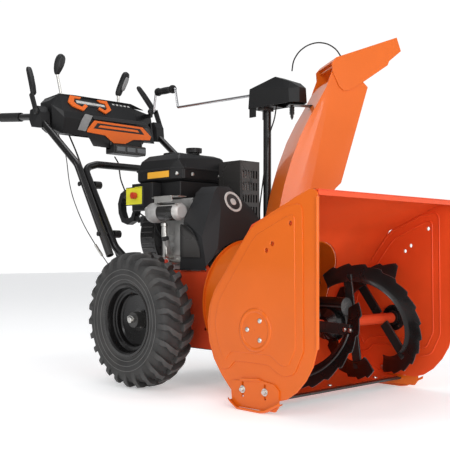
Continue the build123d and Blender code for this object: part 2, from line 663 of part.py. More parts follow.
def muffler_guard():
    """Slotted sheet guard round the muffler, open at the back and below."""
    x0, x1 = GUARD_X
    y0, y1 = GUARD_Y
    z0, z1 = GUARD_Z
    guard = block(x0, x1, y0, y1, z0, z1) - block(x0 + 2, x1 - 2, y0 + 2, y1 + 1, z0 - 1, z1 - 2)
    for row in range(4):
        z = z1 - 44 - 40 * row
        for i in range(6):
            x = x0 + 15 + 12.4 * i
            guard -= block(x - 3, x + 3, y0 - 1, y0 + 3, z - 13, z + 13)
    guard -= rod((x1 - 20, y0 - 1, z0 + 18), (x1 - 20, y0 + 4, z0 + 18), 8)
    return guard


def electric_starter():
    """Starter motor with its cast nose, along the engine's right side."""
    x, z = -150, 544
    nose = turned_y([(584, 0), (584, 30), (600, 33), (632, 30), (638, 14), (638, 0)], x, z)
    motor = rod((x, 500, z), (x, 584, z), 27)
    cap = turned_y([(482, 0), (482, 22), (487, 27.5), (500, 27.5), (500, 0)], x, z)
    foot = block(-124, -96.3, 590, 634, 524, 566)
    return join([motor, nose, cap, foot])


def control_box():
    """Heater and choke box beside the shroud, with its plain plate."""
    body = block(-140, -104.3, 640, 752, 556, 646.5)
    plate = block(-143, -140, 690, 782, 574, 636)
    return body + plate - rod((-150, 726, 606), (-120, 726, 606), 4 + RUNNING)


def choke_knob():
    shaft = rod((-150, 726, 606), (-122, 726, 606), 4)
    head = rod((-160, 726, 606), (-146, 726, 606), 11)
    wing = block(-164, -158, 723, 729, 596, 616)
    return join([shaft, head, wing])


def engine_fittings():
    """Governor linkage plate, dipstick tube, oil drain and its cap, as separate solids."""
    plate = block(-176, -140.3, 470, 600, 589, 592)
    upright = block(-176, -172, 500, 560, 577, 589)
    linkage = plate + upright
    tube = bent_tube([(-96.2, 588, 400), (-124, 588, 400), (-132, 588, 500)], 12, 9)
    stick_cap = rod((-132, 588, 500.3), (-132, 588, 510), 12)
    drain = rod((-96.2, 548, 384), (-146, 548, 384), 8)
    drain_cap = Plane(origin=(-158, 548, 384), z_dir=(1, 0, 0)) * RegularPolygon(13, 6)
    return group([linkage, tube + stick_cap, drain + extrude(drain_cap, 12)])


# ---- chute, deflector and crank -----------------------------------------------------
def chute_frame():
    """Plane of the chute: its x is the way it throws, its y is up."""
    turn = math.radians(CHUTE_REST_TURN)
    throw = Vector(math.cos(turn), math.sin(turn), 0)
    near = Vector(math.sin(turn), -math.cos(turn), 0)
    return Plane(origin=(CHUTE_X, CHUTE_Y, 0), x_dir=throw, z_dir=near)


CHUTE_BACK = [(-79.5, 478), (-76, 500), (-64, 540), (-46, 620), (-24, 694), (4, 768), (33, 826),
              (58, 868), (92, 930), (128, 984)]
CHUTE_FRONT = [(206, 942), (222, 926), (178, 776), (135, 628), (118, 612), (79.5, 560), (79.5, 478)]
HINGE = (120.0, 992.0)
HINGE_PIN_R = 4.0


def chute_slab(outline, low, high):
    """Outline in the chute's own plane, thick across it from low to high."""
    plane = chute_frame()
    face = make_face(Polyline([plane.from_local_coords((u, z, low)) for u, z in outline], close=True))
    return extrude(face, high - low, dir=tuple(plane.z_dir))


def chute():
    """Bent channel on a round base with a turning flange."""
    wall = 2.5
    outer = chute_slab(CHUTE_BACK + CHUTE_FRONT, -CHUTE_HALF, CHUTE_HALF)
    inside = [(u + wall, z) for u, z in CHUTE_BACK]
    inside[0] = (inside[0][0], 470)
    inside[-1] = (inside[-1][0] + 2, 1010)
    front = [(260, 1010), (260, 612), (118, 612), (77, 560), (77, 470)]
    hollow = chute_slab(inside + front, -CHUTE_HALF + wall, CHUTE_HALF - wall)
    base_axis = ((CHUTE_X, CHUTE_Y, 452.0), (CHUTE_X, CHUTE_Y, 540.0))
    base = rod(*base_axis, 80) + rod((CHUTE_X, CHUTE_Y, 452), (CHUTE_X, CHUTE_Y, 458), 90)
    bore = rod((CHUTE_X, CHUTE_Y, 440), (CHUTE_X, CHUTE_Y, 545), 77.4)
    channel = (outer - hollow) - rod((CHUTE_X, CHUTE_Y, 440), (CHUTE_X, CHUTE_Y, 540), 77.4)
    body = channel + (base - bore)
    u, z = HINGE
    ear = [(88, 924), (u - 7, z - 1), (u - 4, z + 5), (u + 4, z + 5), (u + 8, z - 1), (150, 966)]
    for side in (-1, 1):
        low, high = sorted((side * (CHUTE_HALF - wall), side * CHUTE_HALF))
        body += chute_slab(ear, low, high)
    return body - chute_pin(CHUTE_HALF + 1, HINGE_PIN_R + RUNNING)


def chute_pin(half, radius):
    """Round bar across the chute on the deflector's hinge line."""
    return rod(chute_point(*HINGE, -half), chute_point(*HINGE, half), radius)


def deflector():
    """Hood at the chute's mouth: top panel, two side cheeks with lobes and the hinge pin."""
    cheek = [(104, 996), (118, 1013), (316, 1084), (330, 1042), (291, 1009), (286, 996), (205, 940),
             (160, 914), (142, 911), (127, 925), (106, 970)]
    half = CHUTE_HALF + 1.2
    wall = 2.5
    cheeks = [chute_slab(cheek, s * half if s > 0 else -half - wall, half + wall if s > 0 else -half)
              for s in (-1, 1)]
    top = chute_slab([(118, 1013), (316, 1084), (317, 1081.4), (119, 1010.4)], -half - wall, half + wall)
    hinge = chute_slab([(112, 1003), (118, 1013), (124, 1013), (118, 1000)], -half - wall, half + wall)
    return join([*cheeks, top, hinge, chute_pin(half + wall, HINGE_PIN_R)])


def chute_point(u, z, across=0.0):
    """Point given in the chute's plane."""
    return tuple(chute_frame().from_local_coords((u, z, across)))


def chute_pivot():
    """Top bracket of the chute with the pivot bolt and its spring."""
    strap = chute_slab([(-14, 873), (-14, 876), (62.0, 876), (60.3, 873)], -16, 16)
    bolt = rod((CHUTE_X, CHUTE_Y, 838), (CHUTE_X, CHUTE_Y, 912), 5)
    tip = Pos(CHUTE_X, CHUTE_Y, 834) * Cone(1.5, 5, 8)
    coils = []
    for i in range(5):
        coils.append(Pos(CHUTE_X, CHUTE_Y, 868 - 5 * i) * Torus(6.5, 1.9))
    gear = rod((CHUTE_X, CHUTE_Y, 909), (CHUTE_X, CHUTE_Y, 925), 14)
    return join([strap, bolt, tip, gear] + coils)


def deflector_cable():
    """Bare arc of the deflector's cable, from the gearbox to the hood."""
    route = [(0, 982), (4, 1014), (22, 1044), (50, 1066), (84, 1077), (118, 1074), (146, 1058), (162, 1034.5)]
    return cable("deflector cable", [chute_point(u, z) for u, z in route], 2.2)


GEARBOX_NOSE = 40.0


def gearbox_cover():
    """Moulded cover over the chute's worm and wheel, open below."""
    def shell(inset):
        half = 36 - inset
        nose, back = CHUTE_Y - GEARBOX_NOSE + inset, 394 - inset
        low = 880 if inset == 0 else 870
        corners = []
        for side in (-1, 1):
            x = 95 + side * half
            corners += [(x, nose + 26, low), (x, back, low), (x, back - 6, 944 - inset), (x - side * 10, back - 26, 952 - inset),
                        (x - side * 14, 288, 972 - inset), (x - side * 12, nose + 30, 946 - inset), (x, nose + 30, 922 - inset),
                        (x - side * 18, nose, low), (x - side * 20, nose + 2, 926 - inset)]
        return solid_hull(corners)
    cover = shell(0) - shell(3)
    skirt = block(62, 66, 364, 392, 852, 884) + block(124, 128, 364, 392, 852, 884)
    floor = block(64, 126, 300, 388, 881, 886)
    cover = join([cover, skirt, floor])
    shaft = rod(crank_point(-60), crank_point(60), 8)
    return cover - shaft


CRANK_START = Vector(88, 395, 930)
CRANK_END = Vector(190, 1078, 972)
CRANK_LEG = 680.0
CRANK_BACK = 636.0
CRANK_FRONT = 470.0
CRANK_THROW = 72.0


def crank_point(along, out=0.0):
    """Point on the crank's axis, or out from it in the crank's own plane."""
    axis = (CRANK_END - CRANK_START).normalized()
    side = Vector(0, 0, 1) - axis * Vector(0, 0, 1).dot(axis)
    return tuple(CRANK_START + axis * along + side.normalized() * out)


def crank_rod():
    """Long rod bent into the crank, with the worm at its front end."""
    route = [crank_point(-120), crank_point(CRANK_FRONT), crank_point(CRANK_FRONT + 24, CRANK_THROW),
             crank_point(CRANK_BACK, CRANK_THROW), crank_point(CRANK_BACK + 12, 0), crank_point(CRANK_LEG)]
    bar = bent_tube(route, 9, 4.8)
    worm = rod(crank_point(-118), crank_point(-86), 6.5)
    return bar + worm


def crank_grip():
    """Waisted grip that spins on the crank."""
    start, end = CRANK_FRONT + 36, CRANK_BACK - 12
    a, b = Vector(*crank_point(start, CRANK_THROW)), Vector(*crank_point(end, CRANK_THROW))
    length = (b - a).length
    profile = [(0, 4.9), (0, 15), (8, 16), (22, 12.5), (length / 2, 13.5), (length - 22, 12.5),
               (length - 8, 16), (length, 15), (length, 4.9)]
    face = make_face(Polyline([(r, 0, h) for h, r in profile], close=True))
    return Plane(origin=a, z_dir=b - a) * revolve(face, Axis.Z)


def crank_eyelet():
    """Eyelet standing out from the console, for the crank's end."""
    x, y, z = crank_point(CRANK_LEG - 10)
    start, end = crank_point(CRANK_LEG - 16), crank_point(CRANK_LEG - 4)
    eye = rod(start, end, 12)
    arm = block(x - 6, x + 6, y - 3, 1104, z - 22, z - 8)
    bracket = eye + arm - rod(crank_point(CRANK_LEG - 30), crank_point(CRANK_LEG + 10), 4.8 + RUNNING)
    bracket = bracket - Pos(0, -0.3, 0) * console_shell() - console_shell()
    return bracket.solids().sort_by(SortBy.VOLUME)[-1]


def chute_post():
    """Post of the chute gearbox, with its foot on the drum."""
    post = rod((POST_X, POST_Y, 372), (POST_X, POST_Y, 880.8), 13)
    post -= rod((POST_X, POST_Y, 360), (POST_X, POST_Y, 870), 11)
    foot = block(88, 138, 345, 368, 360.3, 372)
    head = block(72, 118, 336, 362, 872, 880.7)
    return join([post, foot, head])


# ---- handlebars and console ---------------------------------------------------------
def handlebar_lower():
    """U-shaped lower handlebar, from the frame up to its crossbar."""
    leg = [(-163.5, 598, 250), (-163.5, 640, 318), (-LOWER_X, 716, 432), (-LOWER_X, 893, 706),
           (-LOWER_X + 44, 884, 720)]
    points = leg + [(-x, y, z) for x, y, z in leg[::-1]]
    bends = [60, 60, 30, 22, 22, 30, 60, 60]
    bar = bent_tube(points, bends, TUBE_R, TUBE_WALL)
    plates = [block(-163.5, -150.3, 586, 612, 244, 276), block(150.3, 163.5, 586, 612, 244, 276)]
    return join([bar] + plates)


def handlebar_upper():
    """Upper handle tubes, from the lower bar back to the grips."""
    right = bent_tube([(-HANDLE_X, 700, 405), (-HANDLE_X, 888, 716), (-HANDLE_X, 1140, 908),
                       (-HANDLE_X, 1404, 937)], [90, 110], TUBE_R, TUBE_WALL)
    return group(both_sides(right))


def handle_fasteners():
    """Bolts with knobs that hold the upper tubes to the lower bar."""
    pieces = []
    for share in (0.16, 0.78):
        y = 716 + (893 - 716) * share
        z = 432 + (706 - 432) * share
        spacer = rod((-HANDLE_X + TUBE_R + 0.2, y, z), (-LOWER_X - TUBE_R - 0.2, y, z), 7)
        knob = rod((-LOWER_X + TUBE_R + 0.3, y, z), (-LOWER_X + TUBE_R + 26, y, z), 13)
        head = rod((-HANDLE_X - TUBE_R - 5, y, z), (-HANDLE_X - TUBE_R - 0.3, y, z), 8)
        pieces += both_sides(spacer) + both_sides(knob) + both_sides(head)
    return group(pieces)


def grips():
    """Rubber grips on the ends of the handle tubes."""
    a, b = Vector(-HANDLE_X, 1262, 921.4), Vector(-HANDLE_X, 1411, 937.8)
    grip = rod(a, b, 17) - rod(a - (b - a), Vector(-HANDLE_X, 1406, 937.2), TUBE_R + RUNNING)
    return group(both_sides(grip))


LEVER_PIVOT = (1122.0, 925.0)


def lever_brackets():
    """Clamp block round each handle tube, with the lever's pivot pin and an arm to the console."""
    y, z = LEVER_PIVOT
    body = panel_x([(1092, 862), (1160, 872), (1176, 900), (1170, 934), (1118, 944), (1098, 920)],
                   -HANDLE_X - 17, -HANDLE_X + 21)
    tube = bent_tube([(-HANDLE_X, 700, 405), (-HANDLE_X, 888, 716), (-HANDLE_X, 1140, 908),
                      (-HANDLE_X, 1404, 937)], [90, 110], TUBE_R + RUNNING)
    body -= tube
    pin = rod((-HANDLE_X - 17, y, z), (-HANDLE_X - 27, y, z), 4)
    clamp = both_sides(join([body, pin]))
    console = console_shell()
    right_arm = block(-HANDLE_X + 20, CONSOLE_NEAR + 8, 1120, 1160, 884, 924) - console
    left_arm = block(CONSOLE_FAR - 12, HANDLE_X - 20, 1120, 1160, 884, 924) - console
    return group([clamp[0] + outermost(right_arm, -1), clamp[1] + outermost(left_arm, 1)])


def clutch_lever():
    """Right clutch lever: a side arm and a paddle above the grip."""
    y, z = LEVER_PIVOT
    x0 = -HANDLE_X - 25
    arm = panel_x([(y - 10, z - 8), (y + 8, z - 12), (y + 44, z + 64), (y + 96, z + 176), (y + 88, z + 182),
                   (y + 70, z + 180), (y + 22, z + 78), (y - 12, z + 6)], x0, x0 + 7)
    paddle = panel_x([(y + 38, z + 74), (y + 46, z + 70), (y + 98, z + 174), (y + 90, z + 182)],
                     x0, -HANDLE_X + 14)
    lever = arm + paddle
    return lever - rod((x0 - 2, y, z), (x0 + 10, y, z), 4 + RUNNING)


def console_shell():
    """Dash between the handle tubes: faceted moulding with a set-back left end."""
    main = []
    for x in (CONSOLE_NEAR + 22, 112):
        main += [(x, 1062, 845), (x, 1050, 902), (x, 1056, 926), (x, 1092, 992), (x, 1186, 986), (x, 1172, 858)]
    near = [(CONSOLE_NEAR + 22, 1062, 845), (CONSOLE_NEAR + 22, 1050, 902), (CONSOLE_NEAR + 22, 1056, 926),
            (CONSOLE_NEAR + 22, 1092, 988), (CONSOLE_NEAR + 22, 1186, 984), (CONSOLE_NEAR + 22, 1172, 858),
            (CONSOLE_NEAR, 1092, 862), (CONSOLE_NEAR - 6, 1092, 950), (CONSOLE_NEAR, 1112, 968),
            (CONSOLE_NEAR, 1176, 966), (CONSOLE_NEAR, 1168, 870)]
    far = [(112, 1080, 848), (112, 1082, 926), (112, 1100, 986), (112, 1186, 984), (112, 1172, 858),
           (CONSOLE_FAR, 1092, 852), (CONSOLE_FAR - 6, 1108, 966), (CONSOLE_FAR - 6, 1176, 964),
           (CONSOLE_FAR, 1168, 868)]
    near_solid, far_solid = solid_hull(near), solid_hull(far)
    shell = join([solid_hull(main), near_solid, far_solid])
    belly = solid_hull([(-108, 1062, 850), (84, 1062, 850), (-78, 1066, 812), (56, 1066, 812),
                        (-108, 1130, 862), (84, 1130, 862), (-78, 1110, 812), (56, 1110, 812)])
    shell = shell + belly
    right_space = [(1070, 800), (1058, 902), (1064, 925), (1097, 983), (1180, 979), (1166, 800)]
    left_space = [(1100, 800), (1098, 926), (1112, 958), (1172, 957), (1162, 800)]
    shell -= panel_x(right_space, SPEED_X + 14, STICK_X - 17)
    shell -= panel_x(left_space, 116, CONSOLE_FAR - 12)
    for x, (y, z), half in ((SPEED_X, SPEED_PIVOT, 9), (STICK_X, STICK_PIVOT, 12)):
        shell -= block(x - half, x + half, 1104, 1176, z - 8, 1010)
        shell -= rod((x - half - 3.2, y, z), (x + half + 3.2, y, z), 4.5 + RUNNING)
    return shell


def console_trim():
    """Orange bezel round the inlay and orange frame of the lower badge."""
    def frame(outline, inner, y_of, thick):
        outer_front = [(x, y_of(z) - thick, z) for x, z in outline]
        outer_back = [(x, y_of(z) - 0.3, z) for x, z in outline]
        inner_front = [(x, y_of(z) - thick - 1, z) for x, z in inner]
        inner_back = [(x, y_of(z) + 1, z) for x, z in inner]
        body = solid_hull(outer_front + outer_back)
        return body - solid_hull(inner_front + inner_back)

    def upper_face(z):
        return 1056 + (z - 926) * 36 / 66

    def lower_face(z):
        return 1062 + (z - 845) * -12 / 57

    bezel = frame([(-172, 984), (-186, 972), (-178, 944), (-166, 932), (24, 932), (38, 944), (42, 972), (30, 984)],
                  [(-158, 974), (-166, 964), (-158, 946), (12, 946), (20, 964), (14, 974)], upper_face, 5)
    badge = frame([(-124, 890), (-146, 862), (-138, 852), (100, 852), (106, 862), (80, 890)],
                  [(-106, 884), (-122, 866), (84, 866), (68, 884)], lower_face, 4)
    return group([bezel, badge])


def headlight_housing():
    """Bar lamp below the console."""
    body = block(-70, 62, 1030, 1094, 784, 811.7)
    return body - block(-64, 56, 1029, 1040, 788, 808)


def headlight_lens():
    return block(-63.7, 55.7, 1032, 1036, 788.3, 807.7) + block(-10, 2, 1036, 1040, 792, 804)


SPEED_X = -186.0
SPEED_PIVOT = (1140.0, 945.0)
STICK_X = 60.0
STICK_PIVOT = (1136.0, 945.0)


def speed_lever():
    """Speed selector: chromed rod with a moulded knob."""
    x = SPEED_X
    y, z = SPEED_PIVOT
    bar = rod((x, y, z), (x, y - 8, 1090), 5)
    hub = rod((x - 12, y, z), (x + 12, y, z), 4.5)
    knob = solid_hull([(x - 12, y - 22, 1096), (x + 12, y - 22, 1096), (x - 10, y + 8, 1084), (x + 10, y + 8, 1084),
                       (x - 16, y - 30, 1124), (x + 16, y - 30, 1124), (x - 16, y + 10, 1120), (x + 16, y + 10, 1120),
                       (x - 10, y - 26, 1150), (x + 10, y - 26, 1150), (x - 10, y + 2, 1152), (x + 10, y + 2, 1152)])
    return join([bar, hub, knob])


def deflector_stick():
    """Joystick of the deflector cable."""
    x = STICK_X
    y, z = STICK_PIVOT
    bar = rod((x, y, z), (x, y - 4, 1036), 5)
    hub = rod((x - 15, y, z), (x + 15, y, z), 4.5)
    knob = solid_hull([(x - 12, y - 14, 1032), (x + 12, y - 14, 1032), (x - 12, y + 12, 1032), (x + 12, y + 12, 1032),
                       (x - 16, y - 30, 1096), (x + 16, y - 30, 1096), (x - 16, y + 8, 1098), (x + 16, y + 8, 1098),
                       (x - 12, y - 34, 1110), (x + 12, y - 34, 1110), (x - 12, y, 1116), (x + 12, y, 1116)])
    return join([bar, hub, knob])


def control_cables():
    """Clutch cables, deflector cable below its gearbox and the headlight lead."""
    inner = cable("clutch cable", [(-176, 1080, 843.5), (-186, 1018, 776), (-200, 946, 690), (-204, 862, 560), (-204, 776, 440),
                   (-196, 724, 352)], 3.0)
    outer = cable("drive cable", [(-216, 1090, 845.5), (-222, 1030, 770), (-226, 1000, 640), (-222, 930, 520), (-214, 838, 420),
                   (-206, 768, 350)], 1.6)
    lead = cable("lamp lead", [(24, 1074, 780.8), (18, 1040, 752), (-20, 985, 716), (-62, 920, 676), (-72, 872, 620),
                  (-60, 828, 560), (-30, 796, 530), (10, 780, 520)], 2.6)
    lower = cable("deflector cable, lower run", [(92, 300, 880.5), (90, 306, 840), (84, 326, 790), (82, 336, 720), (82, 350, 640), (92, 375, 560),
                   (120, 398, 500), (168, 430, 470)], 2.2)
    return group([inner, outer, lead, lower])


# ---- all nodes ----------------------------------------------------------------------
def main():
    os.makedirs("parts", exist_ok=True)
    right_plate = side_plate()
    right_tyre, right_rim = tyre(), rim()
    left_rake = auger_rake()
    right_lever = clutch_lever()
    nodes = {
        "housing_wrap": housing_wrap(),
        "side_plate_right": right_plate,
        "side_plate_left": mirror(right_plate, about=Plane.YZ),
        "scraper_bar": scraper_bar(),
        "skid_shoes": group(both_sides(skid_shoe())),
        "housing_fasteners": housing_fasteners(),
        "auger_bearings": auger_bearings(),
        "impeller_drum": impeller_drum(),
        "auger_rake_left": left_rake,
        "auger_rake_right": turned_rake(mirror(left_rake, about=Plane.YZ)),
        "auger_shaft": auger_shaft(),
        "auger_gearcase": auger_gearcase(),
        "impeller": impeller(),
        "impeller_shaft": impeller_shaft(),
        "engine_pulley": engine_pulley(),
        "drive_belt": drive_belt(),
        "frame_box": frame_box(),
        "frame_cover": frame_cover(),
        "friction_drive": friction_drive(),
        "tyre_right": right_tyre,
        "tyre_left": mirror(right_tyre, about=Plane.YZ),
        "rim_right": right_rim,
        "rim_left": mirror(right_rim, about=Plane.YZ),
        "belt_cover": belt_cover(),
        "engine_block": engine_block(),
        "engine_shroud": engine_shroud(),
        "blower_housing": blower_housing(),
        "recoil_cover": recoil_cover(),
        "recoil_handle": recoil_handle(),
        "fuel_tank": fuel_tank(),
        "fuel_cap": fuel_cap(),
        "air_intake_cap": air_intake_cap(),
        "muffler": muffler(),
        "muffler_guard": muffler_guard(),
        "electric_starter": electric_starter(),
        "control_box": control_box(),
        "choke_knob": choke_knob(),
        "engine_fittings": engine_fittings(),
        "chute": chute(),
        "chute_pivot": chute_pivot(),
        "deflector": deflector(),
        "deflector_cable": deflector_cable(),
        "gearbox_cover": gearbox_cover(),
        "chute_post": chute_post(),
        "crank_rod": crank_rod(),
        "crank_grip": crank_grip(),
        "crank_eyelet": crank_eyelet(),
        "handlebar_lower": handlebar_lower(),
        "handlebar_upper": handlebar_upper(),
        "handle_fasteners": handle_fasteners(),
        "grips": grips(),
        "lever_brackets": lever_brackets(),
        "clutch_lever_right": right_lever,
        "clutch_lever_left": mirror(right_lever, about=Plane.YZ),
        "console_shell": console_shell(),
        "console_trim": console_trim(),
        "headlight": group([headlight_housing(), headlight_lens()]),
        "speed_lever": speed_lever(),
        "deflector_stick": deflector_stick(),
        "control_cables": control_cables(),
    }
    for name, shape in nodes.items():
        save(name, shape)


main()
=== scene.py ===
"""Looks of the snow blower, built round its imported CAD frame. Lengths are in metres.

mm(x, y, z) turns millimetres measured from the auger axis and the machine's centre
plane, as in the CAD source, into a point of the row frame.
"""
import json
import math

import bmesh
import bpy
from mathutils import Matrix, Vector

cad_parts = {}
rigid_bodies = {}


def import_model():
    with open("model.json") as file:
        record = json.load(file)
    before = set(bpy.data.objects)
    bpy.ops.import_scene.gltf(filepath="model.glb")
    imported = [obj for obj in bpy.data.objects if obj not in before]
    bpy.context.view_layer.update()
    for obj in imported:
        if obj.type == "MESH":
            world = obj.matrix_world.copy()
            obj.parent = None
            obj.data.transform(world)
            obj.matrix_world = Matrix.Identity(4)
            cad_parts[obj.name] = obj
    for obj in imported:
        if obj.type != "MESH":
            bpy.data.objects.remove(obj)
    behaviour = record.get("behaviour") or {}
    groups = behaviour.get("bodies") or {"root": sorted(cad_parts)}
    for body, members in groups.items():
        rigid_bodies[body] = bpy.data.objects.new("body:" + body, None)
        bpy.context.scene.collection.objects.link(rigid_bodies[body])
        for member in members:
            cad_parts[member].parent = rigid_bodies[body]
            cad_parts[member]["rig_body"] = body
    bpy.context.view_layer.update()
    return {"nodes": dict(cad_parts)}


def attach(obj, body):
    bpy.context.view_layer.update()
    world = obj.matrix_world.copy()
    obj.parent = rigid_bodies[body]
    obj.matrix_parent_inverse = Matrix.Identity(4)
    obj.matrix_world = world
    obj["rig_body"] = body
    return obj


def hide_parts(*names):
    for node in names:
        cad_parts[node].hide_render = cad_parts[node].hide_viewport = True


for left_over in list(bpy.data.objects):
    bpy.data.objects.remove(left_over)

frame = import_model()
scene = bpy.context.scene

# millimetres
CENTRE_PLANE = -33.0
AUGER_TO_ORIGIN = -603.0
AUGER_Z = 212.0
AXLE_Y, AXLE_Z = 529.0, 208.0
FAN_Z = 469.0
SIDES = ((-1, "right"), (1, "left"))


# ---- placing ------------------------------------------------------------------------
def mm(x, y, z):
    return Vector(((x + CENTRE_PLANE) / 1000, (y + AUGER_TO_ORIGIN) / 1000, z / 1000))


def outwards(x, side):
    """Placer for plate(): a and b run along Y and Z, d away from the centre plane, from x on."""
    return lambda a, b, d: mm(side * (x + d), a, b)


# ---- materials ----------------------------------------------------------------------
def add_node(tree, kind, place, **values):
    node = tree.nodes.new(kind)
    node.location = place
    for key, value in values.items():
        setattr(node, key, value)
    return node


def noise(tree, coords, scale, detail, place):
    node = add_node(tree, "ShaderNodeTexNoise", place)
    node.inputs["Scale"].default_value = scale
    node.inputs["Detail"].default_value = detail
    tree.links.new(coords, node.inputs["Vector"])
    return node.outputs["Fac"]


def remap(tree, value, low, high, to_low, to_high, place):
    node = add_node(tree, "ShaderNodeMapRange", place)
    for name, number in (("From Min", low), ("From Max", high), ("To Min", to_low), ("To Max", to_high)):
        node.inputs[name].default_value = number
    tree.links.new(value, node.inputs["Value"])
    return node.outputs["Result"]


def blend_colours(tree, factor, a, b, place):
    node = add_node(tree, "ShaderNodeMix", place, data_type="RGBA")
    for socket, colour in ((node.inputs[6], a), (node.inputs[7], b)):
        if isinstance(colour, bpy.types.NodeSocket):
            tree.links.new(colour, socket)
        else:
            socket.default_value = (*colour, 1.0)
    tree.links.new(factor, node.inputs[0])
    return node.outputs[2]


def surface(name, colour, rough, metallic=0.0, coat=0.0, mottle=0.08, mottle_scale=9.0, grain=700.0,
            bump=0.08, wear=0.0, worn=(0.3, 0.3, 0.3), dust=0.0, stretch=None, specular=0.5):
    """Painted, moulded or bare surface with uneven colour, uneven gloss, grain, worn edges and dust."""
    material = bpy.data.materials.new(name)
    material.use_nodes = True
    tree = material.node_tree
    shader = tree.nodes["Principled BSDF"]
    coords = add_node(tree, "ShaderNodeTexCoord", (-1400, 0)).outputs["Object"]
    if stretch:
        mapping = add_node(tree, "ShaderNodeMapping", (-1200, 0))
        mapping.inputs["Scale"].default_value = stretch
        tree.links.new(coords, mapping.inputs["Vector"])
        grain_coords = mapping.outputs["Vector"]
    else:
        grain_coords = coords
    broad = noise(tree, coords, mottle_scale, 5.0, (-1000, 300))
    fine = noise(tree, grain_coords, grain, 3.0, (-1000, -200))
    dark = tuple(c * (1 - mottle) for c in colour)
    light = tuple(min(1.0, c * (1 + mottle)) for c in colour)
    spread = remap(tree, broad, 0.3, 0.7, 0.0, 1.0, (-800, 300))
    base = blend_colours(tree, spread, dark, light, (-600, 300))
    if wear:
        geometry = add_node(tree, "ShaderNodeNewGeometry", (-1000, 700))
        edge = remap(tree, geometry.outputs["Pointiness"], 0.53, 0.60, 0.0, wear, (-800, 700))
        base = blend_colours(tree, edge, base, worn, (-400, 300))
    if dust:
        patches = noise(tree, coords, 14.0, 8.0, (-1000, 1000))
        amount = remap(tree, patches, 0.48, 0.75, 0.0, dust, (-800, 1000))
        base = blend_colours(tree, amount, base, (0.34, 0.30, 0.26), (-200, 300))
    tree.links.new(base, shader.inputs["Base Color"])
    gloss = remap(tree, broad, 0.2, 0.8, rough - 0.05, rough + 0.08, (-600, 0))
    tree.links.new(gloss, shader.inputs["Roughness"])
    shader.inputs["Metallic"].default_value = metallic
    shader.inputs["Coat Weight"].default_value = coat
    shader.inputs["Coat Roughness"].default_value = 0.07
    shader.inputs["Specular IOR Level"].default_value = specular
    relief = add_node(tree, "ShaderNodeBump", (-300, -200))
    relief.inputs["Strength"].default_value = bump
    relief.inputs["Distance"].default_value = 0.001
    tree.links.new(fine, relief.inputs["Height"])
    tree.links.new(relief.outputs["Normal"], shader.inputs["Normal"])
    return material


ORANGE = surface("orange_enamel", (0.70, 0.128, 0.007), 0.34, coat=0.3, mottle=0.03, grain=260, bump=0.02,
                 specular=0.2)
RED = surface("red_orange_enamel", (0.62, 0.055, 0.014), 0.38, coat=0.15, mottle=0.06, grain=260,
              bump=0.05, wear=0.2, worn=(0.35, 0.1, 0.05), specular=0.3)
# Darker, redder copy of the orange enamel for the housing's inside faces, creases and wrap: painted shade,
# since the inside carries the same orange paint as the outside.
SHADED_INSIDE = surface("housing_inside_painted_shade", (0.74, 0.075, 0.016), 0.36, coat=0.15, mottle=0.05,
                 grain=260, bump=0.04, specular=0.25)
BLACK_PAINT = surface("black_enamel", (0.006, 0.0055, 0.0055), 0.26, coat=0.12, mottle=0.2, grain=380,
                      bump=0.06, wear=0.4, worn=(0.12, 0.115, 0.11), specular=0.35)
PLASTIC = surface("black_moulding", (0.007, 0.007, 0.0075), 0.42, mottle=0.15, grain=1400, bump=0.12,
                  wear=0.35, worn=(0.07, 0.07, 0.07), specular=0.3)
GREY_PLASTIC = surface("dark_grey_moulding", (0.018, 0.018, 0.019), 0.46, mottle=0.12, grain=1400,
                       bump=0.14, wear=0.3, worn=(0.1, 0.1, 0.1), specular=0.3)
ORANGE_PLASTIC = surface("orange_moulding", (0.76, 0.14, 0.015), 0.36, mottle=0.04, grain=900, bump=0.06,
                         specular=0.3)
RUBBER = surface("tyre_rubber", (0.034, 0.0335, 0.033), 0.66, mottle=0.3, mottle_scale=25, grain=520,
                 bump=0.35, dust=0.05, wear=0.75, worn=(0.13, 0.128, 0.125), specular=0.35)
GRIP_RUBBER = surface("grip_rubber", (0.009, 0.009, 0.009), 0.55, mottle=0.15, grain=1100, bump=0.22,
                      wear=0.4, worn=(0.08, 0.08, 0.08), specular=0.3)
ZINC = surface("zinc_plate", (0.62, 0.61, 0.58), 0.3, metallic=1.0, mottle=0.1, grain=500, bump=0.06)
STEEL = surface("bare_steel", (0.42, 0.41, 0.40), 0.34, metallic=1.0, mottle=0.15, grain=300, bump=0.1,
                stretch=(1, 1, 12))
CHROME = surface("chrome_rod", (0.55, 0.55, 0.56), 0.14, metallic=1.0, mottle=0.04, grain=300, bump=0.01)
CAST = surface("cast_aluminium", (0.40, 0.395, 0.385), 0.5, metallic=0.55, mottle=0.14,
               mottle_scale=30, grain=750, bump=0.4)
LIGHT_CAP = surface("pale_end_cap", (0.58, 0.56, 0.54), 0.42, metallic=0.4, mottle=0.08, grain=600,
                    bump=0.12)
GREY_INLAY = surface("grey_inlay", (0.22, 0.22, 0.22), 0.45, mottle=0.15, grain=1300, bump=0.12)
PALE_INLAY = surface("pale_inlay", (0.52, 0.52, 0.5), 0.4, mottle=0.2, mottle_scale=60, grain=1300,
                     bump=0.1)
AMBER_LABEL = surface("amber_label", (0.86, 0.42, 0.03), 0.4, mottle=0.05, grain=300, bump=0.02)
YELLOW_LABEL = surface("yellow_label", (0.76, 0.72, 0.03), 0.4, mottle=0.05, grain=300, bump=0.02)
RED_KNOB = surface("red_moulding", (0.55, 0.045, 0.02), 0.35, mottle=0.06, grain=700, bump=0.06)
LENS = surface("lamp_lens", (0.07, 0.075, 0.08), 0.08, mottle=0.05, grain=60, bump=0.25, specular=0.8)
CABLE_SKIN = surface("cable_sheath", (0.008, 0.008, 0.008), 0.42, mottle=0.12, grain=900, bump=0.1,
                     specular=0.3)


